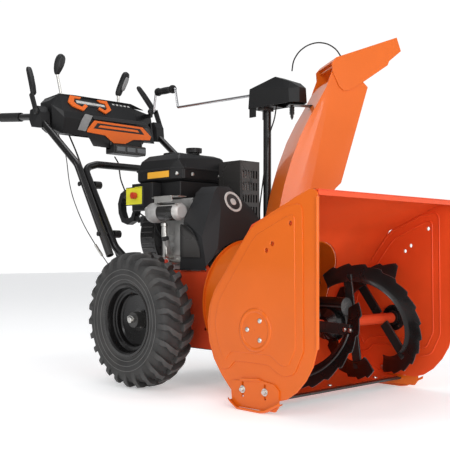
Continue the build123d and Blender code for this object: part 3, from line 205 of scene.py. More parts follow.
# ---- meshes -------------------------------------------------------------------------
def new_object(name, verts, faces, material, smooth=35.0):
    mesh = bpy.data.meshes.new(name)
    mesh.from_pydata([tuple(v) for v in verts], [], faces)
    mesh.validate()
    build = bmesh.new()
    build.from_mesh(mesh)
    bmesh.ops.recalc_face_normals(build, faces=build.faces)
    build.to_mesh(mesh)
    build.free()
    return dress(bpy.data.objects.new(name, mesh), material, smooth)


def dress(piece, material, smooth=35.0):
    mesh = piece.data
    mesh.materials.clear()
    mesh.materials.append(material)
    for polygon in mesh.polygons:
        polygon.use_smooth = True
    mesh.set_sharp_from_angle(angle=math.radians(smooth))
    if piece.name not in scene.collection.objects:
        scene.collection.objects.link(piece)
    return piece


def bevelled(piece, width, segments=2, angle=32.0):
    if width > 0:
        edge = piece.modifiers.new("edges", "BEVEL")
        edge.width = width / 1000
        edge.segments = segments
        edge.limit_method = "ANGLE"
        edge.angle_limit = math.radians(angle)
        edge.harden_normals = True
    return piece


def thick(piece, amount):
    skin = piece.modifiers.new("sheet", "SOLIDIFY")
    skin.thickness = amount / 1000
    skin.offset = 0.0
    return piece


def settle(piece, body, *nodes):
    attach(piece, body)
    if nodes:
        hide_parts(*nodes)
    return piece


def mesh_from(build, name):
    mesh = bpy.data.meshes.new(name)
    build.to_mesh(mesh)
    build.free()
    return mesh


def rebuild(node, material, width=1.0, segments=2, angle=32.0):
    """The node's own form with softened edges and a surface of its own."""
    source = frame["nodes"][node]
    build = bmesh.new()
    build.from_mesh(source.data)
    bmesh.ops.remove_doubles(build, verts=build.verts, dist=0.00002)
    bmesh.ops.dissolve_limit(build, angle_limit=math.radians(1.0), verts=build.verts, edges=build.edges)
    mesh = mesh_from(build, node + "_look")
    if "custom_normal" in mesh.attributes:
        mesh.attributes.remove(mesh.attributes["custom_normal"])
    piece = dress(bpy.data.objects.new(node + "_look", mesh), material)
    bevelled(piece, width, segments, angle)
    return settle(piece, source["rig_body"], node)


def rebuild_all(*looks):
    for look in looks:
        rebuild(*look)


def merge(name, pieces):
    """Several pieces as one object, keeping their surfaces."""
    build = bmesh.new()
    materials = []
    for piece in pieces:
        bpy.context.view_layer.update()
        evaluated = piece.evaluated_get(bpy.context.evaluated_depsgraph_get())
        mesh = bpy.data.meshes.new_from_object(evaluated)
        mesh.transform(piece.matrix_world)
        index = []
        for material in mesh.materials:
            if material not in materials:
                materials.append(material)
            index.append(materials.index(material))
        for polygon in mesh.polygons:
            polygon.material_index = index[polygon.material_index]
        build.from_mesh(mesh)
        bpy.data.meshes.remove(mesh)
        bpy.data.objects.remove(piece)
    mesh = mesh_from(build, name)
    for material in materials:
        mesh.materials.append(material)
    whole = bpy.data.objects.new(name, mesh)
    scene.collection.objects.link(whole)
    return whole


def rounded(outline, radius, steps=5):
    """Closed 2-D outline with an arc at each corner."""
    points = []
    count = len(outline)
    for i, corner in enumerate(outline):
        here = Vector(corner)
        before = Vector(outline[i - 1]) - here
        after = Vector(outline[(i + 1) % count]) - here
        turn = before.angle(after)
        reach = min(radius / math.tan(turn / 2), 0.45 * before.length, 0.45 * after.length)
        a, b = here + before.normalized() * reach, here + after.normalized() * reach
        for step in range(steps + 1):
            t = step / steps
            points.append(tuple((1 - t) ** 2 * a + 2 * t * (1 - t) * here + t * t * b))
    return points


def shifted(outline, amount):
    """Closed outline moved outwards by amount along its corner bisectors."""
    points = [Vector(p) for p in outline]
    count = len(points)
    area = sum(points[i - 1].x * points[i].y - points[i].x * points[i - 1].y for i in range(count))
    turn = 1 if area > 0 else -1
    moved = []
    for i, point in enumerate(points):
        before = (point - points[i - 1]).normalized()
        after = (points[(i + 1) % count] - point).normalized()
        a, b = Vector((before.y, -before.x)) * turn, Vector((after.y, -after.x)) * turn
        middle = (a + b).normalized()
        moved.append(tuple(point + middle * amount / max(0.5, middle.dot(a))))
    return moved


def plate(name, outline, depth, place, material, width=0.8, holes=(), segments=2):
    """Flat plate from a 2-D outline. place(a, b, d) gives its points in the row frame."""
    build = bmesh.new()
    edges = []
    for loop in (outline, *holes):
        verts = [build.verts.new((a, b, 0)) for a, b in loop]
        edges += [build.edges.new((verts[i - 1], verts[i])) for i in range(len(verts))]
    if holes:
        bmesh.ops.triangle_fill(build, edges=edges, use_beauty=True, use_dissolve=False)
    else:
        build.faces.new(build.verts)
    bmesh.ops.dissolve_limit(build, angle_limit=0.01, verts=build.verts, edges=build.edges)
    side = bmesh.ops.extrude_face_region(build, geom=list(build.faces))
    for v in side["geom"]:
        if isinstance(v, bmesh.types.BMVert):
            v.co.z = 1.0
    for v in build.verts:
        v.co = place(v.co.x, v.co.y, depth * v.co.z)
    bmesh.ops.recalc_face_normals(build, faces=build.faces)
    piece = dress(bpy.data.objects.new(name, mesh_from(build, name)), material)
    return bevelled(piece, width, segments)


def circle(centre, radius, count=24):
    return [(centre[0] + radius * math.cos(2 * math.pi * i / count),
             centre[1] + radius * math.sin(2 * math.pi * i / count)) for i in range(count)]


def strips(rows, columns, closed=False):
    """Faces between the rows of a grid of points; closed joins the two ends of every row."""
    faces = []
    for i in range(rows - 1):
        for k in range(columns if closed else columns - 1):
            a, b = i * columns + k, i * columns + (k + 1) % columns
            faces.append((a, b, b + columns, a + columns))
    return faces


def loft(name, rings, material, smooth):
    """Closed skin through rings of equally many points."""
    count = len(rings[0])
    ends = [tuple(range(count)), tuple(range((len(rings) - 1) * count, len(rings) * count))]
    faces = strips(len(rings), count, True) + ends
    return new_object(name, [v for ring in rings for v in ring], faces, material, smooth)


def lathe(name, profile, origin, axis, material, count=72, smooth=30.0):
    """Closed profile of (along, radius), turned about an axis through origin."""
    turn = Vector(axis).normalized().to_track_quat("Z", "Y").to_matrix()
    verts = [origin + (turn @ Vector((radius * c, radius * s, along))) / 1000
             for c, s in circle((0, 0), 1, count) for along, radius in profile]
    rows = len(profile)
    faces = []
    for i in range(count):
        after = (i + 1) % count
        for k in range(rows):
            up = (k + 1) % rows
            faces.append((i * rows + k, i * rows + up, after * rows + up, after * rows + k))
    return new_object(name, verts, faces, material, smooth)


def tube(name, points, radius, material, smoothing=0, count=14):
    """Round bar along points; smoothing bends it evenly through them."""
    path = [Vector(p) for p in points]
    for _ in range(smoothing):
        finer = [path[0]]
        for a, b in zip(path, path[1:]):
            finer += [a.lerp(b, 0.25), a.lerp(b, 0.75)]
        path = finer + [path[-1]]
    rings = []
    side = None
    for i, p in enumerate(path):
        ahead = (path[min(i + 1, len(path) - 1)] - path[max(i - 1, 0)]).normalized()
        if side is None:
            side = ahead.orthogonal().normalized()
        side = (side - ahead * side.dot(ahead)).normalized()
        other = ahead.cross(side)
        rings.append([p + (side * c + other * s) * radius / 1000 for c, s in circle((0, 0), 1, count)])
    return loft(name, rings, material, 50)


CUBE_FACES = [(0, 1, 3, 2), (4, 6, 7, 5), (0, 4, 5, 1), (2, 3, 7, 6), (0, 2, 6, 4), (1, 5, 7, 3)]


def box(name, x, y, z, material, width=1.5, body=None):
    """Block between limits given in millimetres, with softened edges."""
    corners = [mm(a, b, c) for a in x for b in y for c in z]
    piece = bevelled(new_object(name, corners, CUBE_FACES, material), width, 3)
    return settle(piece, body) if body else piece


def hull(name, points, material, width=2.0, segments=3, angle=25.0):
    """Faceted moulding round points given in millimetres."""
    build = bmesh.new()
    for point in points:
        build.verts.new(mm(*point))
    bmesh.ops.convex_hull(build, input=build.verts)
    bmesh.ops.delete(build, geom=[v for v in build.verts if not v.link_faces], context="VERTS")
    bmesh.ops.dissolve_limit(build, angle_limit=math.radians(1.0), verts=build.verts, edges=build.edges)
    piece = dress(bpy.data.objects.new(name, mesh_from(build, name)), material)
    return bevelled(piece, width, segments, angle)


def bolt_head(name, place, axis, size, material=ZINC, height=4.5):
    """Hexagon head on its washer, pointing along axis."""
    disc = [(0, 1), (0, size * 1.55), (1.2, size * 1.5), (1.4, 1)]
    washer = lathe(name + "_washer", disc, place, axis, material, 28)
    profile = [(1.2, 0.5), (1.2, size), (height * 0.8, size), (height, size * 0.82), (height, 0.5)]
    head = lathe(name + "_hex", profile, place, axis, material, 6, 20)
    return merge(name, [washer, head])


# ---- auger housing ------------------------------------------------------------------
PLATE_EDGE = [
    (-205, 556), (-199, 564), (-190, 567.5), (-178, 567.5), (-132, 549.5), (-60, 518), (4, 489), (22, 476),
    (40, 457), (115, 364), (159, 311), (180, 266), (187, 222), (181, 172), (162, 124), (132, 84), (98, 50),
    (80, 38), (-74, 36), (-104, 44), (-138, 66), (-168, 98), (-190, 134), (-203, 176),
]
PLATE_HOLES = [(-120.5, 485.5), (-59, 435), (-39, 418.5)]
RAISED_PANEL = [
    (-146, 522), (-104, 515), (2, 470), (24, 449), (96, 358), (150, 287), (163, 240), (161, 196),
    (146, 152), (124, 112), (106, 113), (84, 138), (-50, 138), (-74, 122), (-98, 113), (-124, 120),
    (-150, 172),
]
SHEET_FACE, OUTER_FACE, SKID_FACE = 308.0, 311.0, 311.2
DISH_FACE = OUTER_FACE + 4.2
SKID_BOLTS = ((46, 54), (-34, 55))
DISH_BOLTS = ((-18, 237), (27, 212), (-18, 187))


def side_plate(side, label):
    """Pressed side plate with its raised panel, bearing dish and front border."""
    edge = rounded(PLATE_EDGE, 16, 3)
    holes = [circle(p, 6, 16) for p in PLATE_HOLES]
    steps = [rounded(shifted(RAISED_PANEL, amount), 26 + amount / 2, 6) for amount in (12, -12)]
    body = [plate(f"side_plate_{label}_sheet", edge, 3.0, outwards(SHEET_FACE, side), ORANGE, 0.9, holes)]
    for step, depth in zip(steps, (5.6, 7.6)):
        place = outwards(OUTER_FACE - 2.8, side)
        body.append(plate("raised", step, depth, place, ORANGE, depth * 0.48, holes, 5))
    for name, x, y in (("front_bead", 311.5, -203.5), ("front_bead_inside", 307.5, -203.0)):
        bead = [mm(side * x, y, z) for z in (178, 300, 430, 548)]
        body.append(tube(name, bead, 3.4, ORANGE, 0, 16))
    border = [(-4, 44), (-4, 58), (1.8, 57), (3.4, 53), (3.4, 49), (1.6, 45.5)]
    dome = [(-1, 1), (-1, 47), (1.6, 46), (2.2, 30), (2.2, 1)]
    for name, profile in (("dish_rim", border), ("dish", dome)):
        body.append(lathe(name, profile, mm(side * DISH_FACE, 0, AUGER_Z), (side, 0, 0), ORANGE, 64, 60))
    for step in steps:
        crease = [mm(side * 307.6, a, b) for a, b in step]
        body.append(tube("inner_crease", crease + [crease[0]], 2.4, SHADED_INSIDE, 0, 10))
    # Thin skin in the darker inside colour over the plate's inner face: painted shade.
    body.append(plate("inside_painted_shade_skin", edge, 0.5, lambda a, b, d: mm(side * (SHEET_FACE - d), a, b), SHADED_INSIDE,
                      0.1, holes))
    settle(merge(f"side_plate_{label}_look", body), "machine", f"side_plate_{label}")


for which in SIDES:
    side_plate(*which)
# The housing wrap is drawn in the darker inside colour: painted shade over its orange enamel.
rebuild("housing_wrap", SHADED_INSIDE, 0.8, 2, 40)


def roof_skin():
    """Orange outside of the roof, just above the rolled sheet."""
    path = [(-203, 552.5), (-203, 560), (-201, 565), (-196, 567), (-186, 567), (-178, 565.3), (-166, 560.4),
            (0, 492.5), (10, 488), (20, 481.5), (29, 472.5)]
    path += [(141.2 * t + 29 * (1 - t), 327 * t + 472.5 * (1 - t)) for t in (0.1, 0.2, 0.3)]
    verts = []
    for x in (-307.9, 307.9):
        for before, (y, z), after in zip(path[:1] + path, path, path[1:]):
            along = Vector((after[0] - before[0], after[1] - before[1])).normalized()
            verts.append(mm(x, y - along.y * 0.7, z + along.x * 0.7))
    skin = new_object("housing_roof_skin", verts, strips(2, len(path) - 1), ORANGE, 28)
    settle(skin, "machine")


roof_skin()


def skids():
    """Skid shoes: bolted plate with slots, flared foot and rolled lip."""
    web = rounded([(-82, 24), (-82, 64), (-66, 78), (-18, 84), (2, 84), (56, 76), (86, 74), (90, 58),
                   (86, 14), (78, 6), (-70, 8)], 8, 4)
    slots = [[(y - 4, z - 20), (y + 4, z - 20), (y + 4, z + 20), (y - 4, z + 20)] for y, z in SKID_BOLTS]
    sole = [(-92, 31), (-84, 27), (-40, 5), (-18, 1.5), (60, 1.5), (84, 16), (91, 22)]
    flare = ((0.4, 0.0), (9, -0.4), (12.5, 1.5), (14.0, 6.0))
    hump = rounded([(-22, 84), (-10, 88), (52, 82), (60, 78), (52, 76), (-12, 80)], 3, 3)
    pieces = []
    for side in (-1, 1):
        place = outwards(SKID_FACE, side)
        pieces.append(plate("skid_web", web, 4.0, place, ORANGE, 1.2, slots, 3))
        verts = [mm(side * (SKID_FACE + out), y, z + lift) for out, lift in flare for y, z in sole]
        foot = new_object("skid_sole", verts, strips(len(flare), len(sole)), ORANGE, 50)
        pieces.append(thick(foot, 3.0))
        pieces.append(plate("skid_hump", hump, 6.5, place, ORANGE, 1.5, (), 3))
    settle(merge("skid_shoes_look", pieces), "machine", "skid_shoes")


skids()


def fasteners():
    """Skid shoe nuts, bearing dish bolts, the heads inside and the scraper bar's bolts."""
    dome = [(0, 0.3), (0, 7), (1.6, 6.6), (3.6, 4.6), (4.4, 0.3)]
    head = [(0, 0.3), (0, 7), (2.0, 5.5), (2.8, 0.3)]
    pieces = []
    for side in (-1, 1):
        for y, z in SKID_BOLTS:
            pieces.append(bolt_head("skid_nut", mm(side * 315.4, y, z), (side, 0, 0), 6.6, ZINC, 8))
        for y, z in DISH_BOLTS:
            pieces.append(lathe("bearing_bolt", dome, mm(side * 317.0, y, z), (side, 0, 0), ZINC, 24, 50))
        for y, z in SKID_BOLTS + DISH_BOLTS:
            pieces.append(lathe("inner_head", head, mm(side * 307, y, z), (-side, 0, 0), ZINC, 20, 50))
    for x in (-220, 0, 220):
        pieces.append(bolt_head("scraper_bolt", mm(x, 10, 33.2), (0, 0, 1), 5.5, ZINC, 4))
    settle(merge("housing_fasteners_look", pieces), "machine", "housing_fasteners")


fasteners()
rebuild_all(
    ("scraper_bar", BLACK_PAINT, 1.0),
    ("auger_bearings", BLACK_PAINT, 1.0),
    ("impeller_drum", ORANGE, 0.8, 2, 40),
)


# ---- augers and impeller ------------------------------------------------------------
RAKE_IN, RAKE_OUT = 70.0, 284.0
RIBBON_TURN = 225.0
BAR_SHARES = (0.12, 0.79)


def auger_point(x, angle, radius):
    a = math.radians(angle)
    return mm(x, -radius * math.sin(a), AUGER_Z + radius * math.cos(a))


def station(side, start, t):
    """Place along the axis and angle at share t of a flight."""
    return side * (RAKE_IN + (RAKE_OUT - RAKE_IN) * t), start + RIBBON_TURN * t


def rake(side, label, start):
    """Serrated ribbon flights, their bars and the hub of one rake."""
    pieces = []
    steps, teeth = 84, 14
    for flight in (start, start + 180):
        verts = []
        for i in range(steps + 1):
            x, angle = station(side, flight, i / steps)
            outer = 163.0 + 9.0 * ((i * teeth / steps) % 1.0)
            for radius, shift in ((117, -9), (124, -3), (131, -1), (150, 0), (outer, 2)):
                verts.append(auger_point(x + side * shift, angle, radius))
        ribbon = new_object("ribbon", verts, strips(steps + 1, 5), BLACK_PAINT, 24)
        pieces.append(bevelled(thick(ribbon, 3.4), 0.8, 2, 40))
        for first, last in ((0.14, 0.42), (0.58, 0.9)):
            crest = []
            for i in range(25):
                x, angle = station(side, flight, first + (last - first) * i / 24)
                crest.append(auger_point(x + side * 2.2, angle, 137))
            pieces.append(tube("pressed_rib", crest, 3.0, BLACK_PAINT, 0, 8))
        for share in BAR_SHARES:
            x, angle = station(side, flight, share)
            pieces.append(rake_bar(x, angle))
            for radius in (122, 140):
                place = auger_point(x + side * 3.8, angle, radius)
                pieces.append(bolt_head("rivet", place, (side, 0, 0), 4.2, ZINC, 3))
    low, high = sorted((side * 60.0, side * 290.0))
    hub = [(low, 12.8), (low, 15.2), (low + 1, 16), (high - 1, 16), (high, 15.2), (high, 12.8)]
    pieces.append(lathe("hub", hub, mm(0, 0, AUGER_Z), (1, 0, 0), RED, 40))
    a = math.radians(start + 35)
    out = Vector((0, -math.sin(a), math.cos(a)))
    place = mm(side * 70, 15.5 * out.y, AUGER_Z + 15.5 * out.z)
    pieces.append(bolt_head("shear_bolt", place, out, 5.0, ZINC, 5))
    settle(merge(f"auger_rake_{label}_look", pieces), "auger", f"auger_rake_{label}")


def rake_bar(x, angle):
    """Flat bar from the hub to the ribbon, with softened edges."""
    a = math.radians(angle)
    corners = []
    for radius in (16, 138):
        for swing in (-15, 15):
            y = -radius * math.sin(a) - swing * math.cos(a)
            z = AUGER_Z + radius * math.cos(a) - swing * math.sin(a)
            corners += [mm(x - 3.6, y, z), mm(x + 3.6, y, z)]
    return bevelled(new_object("bar", corners, CUBE_FACES, BLACK_PAINT), 1.8, 3)


rake(1, "left", -35.0)
rake(-1, "right", 65.0)
rebuild_all(
    ("auger_shaft", RED, 0.8),
    ("auger_gearcase", BLACK_PAINT, 2.5, 3),
    ("impeller", BLACK_PAINT, 1.2),
    ("impeller_shaft", STEEL, 0.6),
    ("engine_pulley", STEEL, 0.6),
    ("drive_belt", GRIP_RUBBER, 0.5),
    ("friction_drive", STEEL, 0.6),
)


# ---- wheels -------------------------------------------------------------------------
TYRE_INNER, TYRE_OUTER, RIM_INNER = 219.0, 343.0, 226.0
LUGS = 25
# along from the middle, sweep, outer radius, foot radius, half width, hook; angles in degrees
LUG_STATIONS = (
    (3.0, 0.0, 207.4, 190, 3.4, 0.0), (18, 1.6, 207.6, 190, 3.2, 1.2), (34, 4.4, 206.2, 186, 2.9, 0.0),
    (48, 7.2, 200, 178, 2.9, 1.2), (57, 8.4, 190, 168, 3.1, 0.0), (61.0, 8.6, 178, 160, 2.8, 0.0),
)


def tyre(side, label):
    """Snow tyre: round shoulders, rib rings on the sidewalls and hooked chevron lugs."""
    inner, outer = TYRE_INNER, TYRE_OUTER
    mid = (inner + outer) / 2
    origin = mm(0, AXLE_Y, AXLE_Z)
    wall = ((12, 108.4), (6, 120), (2, 134), (0.6, 148), (1.2, 160), (4, 172), (10, 182), (22, 189))
    profile = [(outer - a, r) for a, r in wall] + [(mid + 14, 193), (mid, 194), (mid - 14, 193)]
    profile += [(inner + a, r) for a, r in reversed(wall)]
    profile += [(inner + 22, 108.4), (inner + 16, 140), (inner + 20, 170), (mid, 182), (outer - 20, 170),
                (outer - 16, 140), (outer - 22, 108.4)]
    pieces = [lathe("carcass", [(side * a, r) for a, r in profile], origin, (1, 0, 0), RUBBER, 112, 40)]
    for radius, bulge, sunk in ((124, 1.2, 5.0), (139, 1.0, 1.7), (154, 0.9, 1.0)):
        for face, inwards in ((outer, -1), (inner, 1)):
            root, crest = side * (face + inwards * (sunk + 2)), side * (face + inwards * (sunk - bulge))
            ring = [(root, radius - 2), (crest, radius - 0.8), (crest, radius + 0.8), (root, radius + 2)]
            pieces.append(lathe("rib", ring, origin, (1, 0, 0), RUBBER, 96, 60))

    def lug_point(along, angle, radius):
        a = math.radians(angle)
        return mm(side * along, AXLE_Y + radius * math.sin(a), AXLE_Z + radius * math.cos(a))

    verts, faces = [], []
    step = 360.0 / LUGS
    for i in range(LUGS):
        for half, lag in ((-1, step / 2), (1, 0)):
            first = len(verts)
            for along, sweep, top, foot, width, hook in LUG_STATIONS:
                x, angle = mid + half * along, i * step + lag + sweep
                verts += [lug_point(x, angle - width - 0.6, foot), lug_point(x, angle - width + hook, top),
                          lug_point(x, angle + width * 0.7, top), lug_point(x, angle + width, foot)]
            faces += [tuple(first + v for v in face) for face in strips(len(LUG_STATIONS), 4)]
            last = len(verts) - 4
            faces += [(first, first + 1, first + 2, first + 3), (last, last + 3, last + 2, last + 1)]
    pieces.append(bevelled(new_object("lugs", verts, faces, RUBBER, 30), 1.3, 2, 30))
    settle(merge(f"tyre_{label}_look", pieces), f"wheel_{label}", f"tyre_{label}")


def rim(side, label):
    """Pressed rim with a deep stepped dish, hub tube, axle end, its gear and the pin."""
    inner, outer = RIM_INNER, TYRE_OUTER
    front = ((7.5, 111.5), (7, 110), (7.5, 104), (12, 99), (18, 97), (31, 95), (34, 91), (34.5, 84),
             (37, 81), (50, 79), (54, 75), (56, 66), (61, 40), (63, 25), (67, 25), (65, 42), (60, 68),
             (57, 80), (40, 85), (38, 97))
    rear = ((8, 97.8), (1, 102), (0, 111.5), (2, 111.8), (4, 108), (14, 105))
    dish = [(outer - a, r) for a, r in front] + [(inner + a, r) for a, r in rear]
    dish += [(outer - 22, 105), (outer - 12, 108), (outer - 10, 111.8)]
    hub = [(outer - 36, 9.8), (outer - 36, 23), (outer - 37, 24.4), (223, 24.4), (223, 9.8)]
    axle = [(outer - 22.5, 0.4), (outer - 22.5, 8.4), (outer - 23.6, 9.5), (8, 9.5), (8, 0.4)]
    gear = [(29, 9), (29, 33.5), (47, 33.5), (47, 9)]
    pieces = []
    for name, profile, material, count, smooth in (
            ("dish", dish, BLACK_PAINT, 88, 25), ("hub", hub, BLACK_PAINT, 48, 30),
            ("axle", axle, ZINC, 36, 30), ("gear", gear, STEEL, 48, 30)):
        turned = [(side * a, r) for a, r in profile]
        pieces.append(lathe(name, turned, mm(0, AXLE_Y, AXLE_Z), (1, 0, 0), material, count, smooth))
    x = side * (outer - 29)
    pieces.append(tube("pin", [mm(x, AXLE_Y - 15, AXLE_Z), mm(x, AXLE_Y + 15, AXLE_Z)], 2.6, ZINC))
    loop = [mm(x + side * out, AXLE_Y + y, AXLE_Z + z)
            for out, y, z in ((0, -13, 0), (3, -14, 9), (3, 0, 14), (3, 14, 9), (0, 13, 0))]
    pieces.append(tube("pin_loop", loop, 1.3, ZINC, 2, 8))
    settle(merge(f"rim_{label}_look", pieces), f"wheel_{label}", f"rim_{label}")


for which in SIDES:
    tyre(*which)
    rim(*which)


# ---- frame, belt cover and engine ---------------------------------------------------
rebuild_all(
    ("frame_box", RED, 1.2, 3),
    ("frame_cover", BLACK_PAINT, 0.6),
    ("belt_cover", GREY_PLASTIC, 4.0, 4, 20),
    ("engine_block", CAST, 2.0, 3),
    ("engine_shroud", PLASTIC, 5.0, 4),
    ("blower_housing", BLACK_PAINT, 1.5, 3),
    ("recoil_cover", PLASTIC, 1.5, 3),
    ("recoil_handle", PLASTIC, 4.0, 4, 20),
    ("fuel_tank", PLASTIC, 4.0, 4, 16),
    ("fuel_cap", PLASTIC, 1.0),
    ("air_intake_cap", PLASTIC, 1.5, 3),
    ("muffler", STEEL, 6.0, 4),
    ("muffler_guard", BLACK_PAINT, 0.8),
    ("control_box", PLASTIC, 3.0, 3),
)
box("control_label", (-143.8, -142.6), (693, 779), (577, 633), YELLOW_LABEL, 0.4, "machine")
box("control_label_tab", (-143.8, -142.6), (693, 732), (631, 635.5), YELLOW_LABEL, 0.4, "machine")
rebuild("choke_knob", RED_KNOB, 1.2, 3)
rebuild("engine_fittings", ZINC, 0.6)


def starter():
    """Starter motor: ribbed cast nose, black motor, pale end cap, two long bolts, foot and a cable stud."""
    x, z = -150, 544
    nose = [(579, 0.5), (579, 28), (584, 31), (598, 33.5), (602, 31.5), (606, 33.5), (622, 33), (632, 29),
            (638, 18), (641, 9), (641, 0.5)]
    motor = [(500, 0.5), (500, 27), (503, 28), (576, 28), (580, 27), (580, 0.5)]
    cap = [(480, 0.5), (480, 19), (484, 24.5), (492, 28.2), (500.5, 28.4), (500.5, 0.5)]
    pieces = [lathe(name, profile, mm(x, 0, z), (0, 1, 0), material, 56) for name, profile, material in (
        ("nose", nose, CAST), ("motor", motor, BLACK_PAINT), ("cap", cap, LIGHT_CAP))]
    for shift in (20, -20):
        ends = [mm(x - shift, y, z + shift) for y in (482, 582)]
        pieces.append(tube("long_bolt", ends, 2.4, ZINC, 0, 10))
    pieces.append(box("foot", (-126, -96.4), (592, 632), (526, 565), CAST, 3.0))
    pieces.append(bolt_head("stud", mm(-158, 590, 574), (0, 0, 1), 5.0, ZINC, 9))
    pieces.append(bolt_head("nose_bolt", mm(-178, 626, 556), (-0.9, 0, 0.43), 4.6, ZINC, 4))
    settle(merge("electric_starter_look", pieces), "machine", "electric_starter")


starter()


def crankcase_details():
    """Side cover, bolts, cast ribs, filler neck, governor rod and breather on the engine's right."""
    place = outwards(96, -1)
    cover = rounded([(500, 396), (500, 520), (516, 536), (620, 536), (634, 520), (634, 396), (620, 382),
                     (514, 382)], 6, 3)
    panel = rounded([(516, 404), (516, 512), (572, 512), (572, 404)], 8, 3)
    pieces = [plate("side_cover", cover, 5.0, place, CAST, 1.8, (), 3),
              plate("cover_panel", panel, 7.5, place, CAST, 1.8, (), 3)]
    for y, z in ((507, 402), (507, 514), (560, 528), (627, 516), (627, 402), (560, 390)):
        pieces.append(bolt_head("cover_bolt", mm(-101, y, z), (-1, 0, 0), 5.0))
    for z in (430, 452, 474):
        pieces.append(box("cast_rib", (-104, -96), (580, 626), (z, z + 4), CAST, 1.2))
    neck = [(-102, 588, 408), (-122, 584, 430), (-132, 582, 456)]
    cap = [(0, 0.5), (0, 12), (9, 12), (12, 9), (12, 0.5)]
    rod = [(-108, 612, 420), (-120, 618, 470), (-112, 622, 520)]
    breather = [(-100, 640, 560), (-116, 652, 548), (-120, 650, 500), (-106, 640, 470)]
    pieces += [tube("filler", [mm(*p) for p in neck], 9, CAST, 2),
               lathe("filler_cap", cap, mm(-132, 582, 455), (-0.35, 0, 0.94), PLASTIC, 24),
               tube("governor_rod", [mm(*p) for p in rod], 1.8, ZINC, 2, 8),
               tube("breather", [mm(*p) for p in breather], 5, PLASTIC, 2)]
    for y in range(500, 640, 12):
        pieces.append(box("base_web", (-103, -96), (y, y + 4), (372, 384), CAST, 0.8))
    settle(merge("crankcase_details", pieces), "machine")


def fan_back_plate():
    """Disc with radial ribs in front of the fan housing."""
    disc = [(0, 20), (0, 122), (3, 122), (3, 20)]
    pieces = [lathe("fan_disc", disc, mm(0, 650, 475), (0, 1, 0), GREY_PLASTIC, 72)]
    for c, s in circle((0, 0), 1, 18):
        out = Vector((c, 0, s))
        ends = [mm(radius * out.x, y, 475 + radius * out.z) for radius, y in ((44, 648), (118, 646))]
        pieces.append(tube("fan_blade", ends, 2.6, GREY_PLASTIC, 0, 8))
    settle(merge("fan_back_plate", pieces), "machine")


crankcase_details()
fan_back_plate()


def tank_details():
    """Seam, amber plate, bolts, corner ridge, pressed lines and low filler boss of the tank."""
    seam = [(x, y, z) for z in (686, 692.5) for x, y in
            ((-124, 569), (-97.6, 532.5), (106.5, 532.5), (106.5, 747.5), (-124, 747.5))]
    pieces = [hull("seam", seam, PLASTIC, 1.6),
              box("amber_plate", (-123.4, -121.4), (578, 688), (661, 682), AMBER_LABEL, 0.4)]
    bolt = [(0, 0.4), (0, 7), (3, 6.4), (5, 4.0), (5, 0.4)]
    for x, y, toward in ((-58, 535.5, (0, -1, 0)), (62, 535.5, (0, -1, 0)), (-110, 551, (-0.8, -0.6, 0))):
        pieces.append(lathe("bolt", bolt, mm(x, y, 671), toward, ZINC, 6))
    ridge = [(-101, 538, 656), (-90, 533, 656), (-101, 538, 690), (-90, 533, 690), (-84, 548, 722),
             (-74, 546, 722)]
    pieces.append(hull("ridge", ridge, PLASTIC, 1.2))
    for y in (600, 640, 680):
        pieces.append(tube("pressed_line", [mm(-115, y, 705), mm(-96, y, 728)], 1.8, PLASTIC, 0, 8))
    low_cap = [(0, 0.5), (0, 30), (3, 32), (9, 32), (11, 30), (13, 22), (13, 0.5)]
    pieces.append(lathe("low_cap", low_cap, mm(6, 700, 745), (0, 0, 1), PLASTIC, 48))
    settle(merge("tank_details", pieces), "machine")


tank_details()


def cover_disc():
    """Plain two-tone disc set into the belt cover's upper facet."""
    a, b, c = mm(-68, 402, 623), mm(52, 372, 556), mm(-84, 372, 552)
    normal = (b - a).cross(c - a).normalized()
    if normal.y > 0:
        normal = -normal
    centre = a + (b - a) * 0.42 + (c - a) * 0.28
    ring = [(-1, 27), (-1, 35.5), (0.8, 35.5), (1.6, 34.5), (1.6, 28), (0.8, 27)]
    inner = [(-1, 0.5), (-1, 27), (0.7, 27), (0.7, 0.5)]
    button = [(0, 0.5), (0, 12), (1.5, 11.5), (2.0, 10), (2.0, 0.5)]
    pieces = [lathe("ring", ring, centre, normal, PALE_INLAY, 64),
              lathe("inner", inner, centre, normal, GREY_PLASTIC, 64),
              lathe("button", button, centre, normal, PALE_INLAY, 40)]
    settle(merge("belt_cover_disc", pieces), "machine")


cover_disc()


def cover_crease():
    """Pressed skirt panel on the belt cover's right side, bounded by a curved crease."""
    skirt = [(476, 398), (476, 500)]
    for i in range(11):
        angle = math.radians(84 - 8.4 * i)
        skirt.append((482 - 100 * math.cos(angle), 400 + 104 * math.sin(angle)))
    skirt.append((384, 398))
    pieces = [plate("skirt", rounded(skirt, 4, 2), 2.4, outwards(160, -1), BLACK_PAINT, 1.0, (), 3),
              bolt_head("cover_bolt", mm(-150, 365, 404), (-0.6, -0.8, 0), 5.0, ZINC, 4.0)]
    settle(merge("cover_skirt", pieces), "machine")


cover_crease()


def blower_fins():
    """Short ribs round the fan housing's rim, left out where the rim meets the engine's base."""
    pieces = []
    for i in range(26):
        angle = math.radians(118 + 8 * i)
        if FAN_Z + 128 * math.sin(angle) < 372:
            continue
        out = Vector((math.cos(angle), 0, math.sin(angle)))
        corners = [(radius * out.x - swing * out.z, y, FAN_Z + radius * out.z + swing * out.x)
                   for radius in (126, 131) for swing in (-2, 2) for y in (656, 716)]
        pieces.append(hull("fin", corners, BLACK_PAINT, 0.8, 2))
    settle(merge("blower_fins", pieces), "machine")


blower_fins()
box("linkage_plate", (-172, -150), (506, 596), (592.2, 594.6), ZINC, 0.8, "machine")
box("linkage_flange", (-174, -171.5), (506, 590), (574, 594.6), ZINC, 0.8, "machine")
settle(lathe("drain_cap", [(0, 0.5), (0, 9), (7, 8), (9, 6), (9, 0.5)], mm(-158, 548, 384), (-1, 0, 0),
             RED_KNOB, 24), "machine")

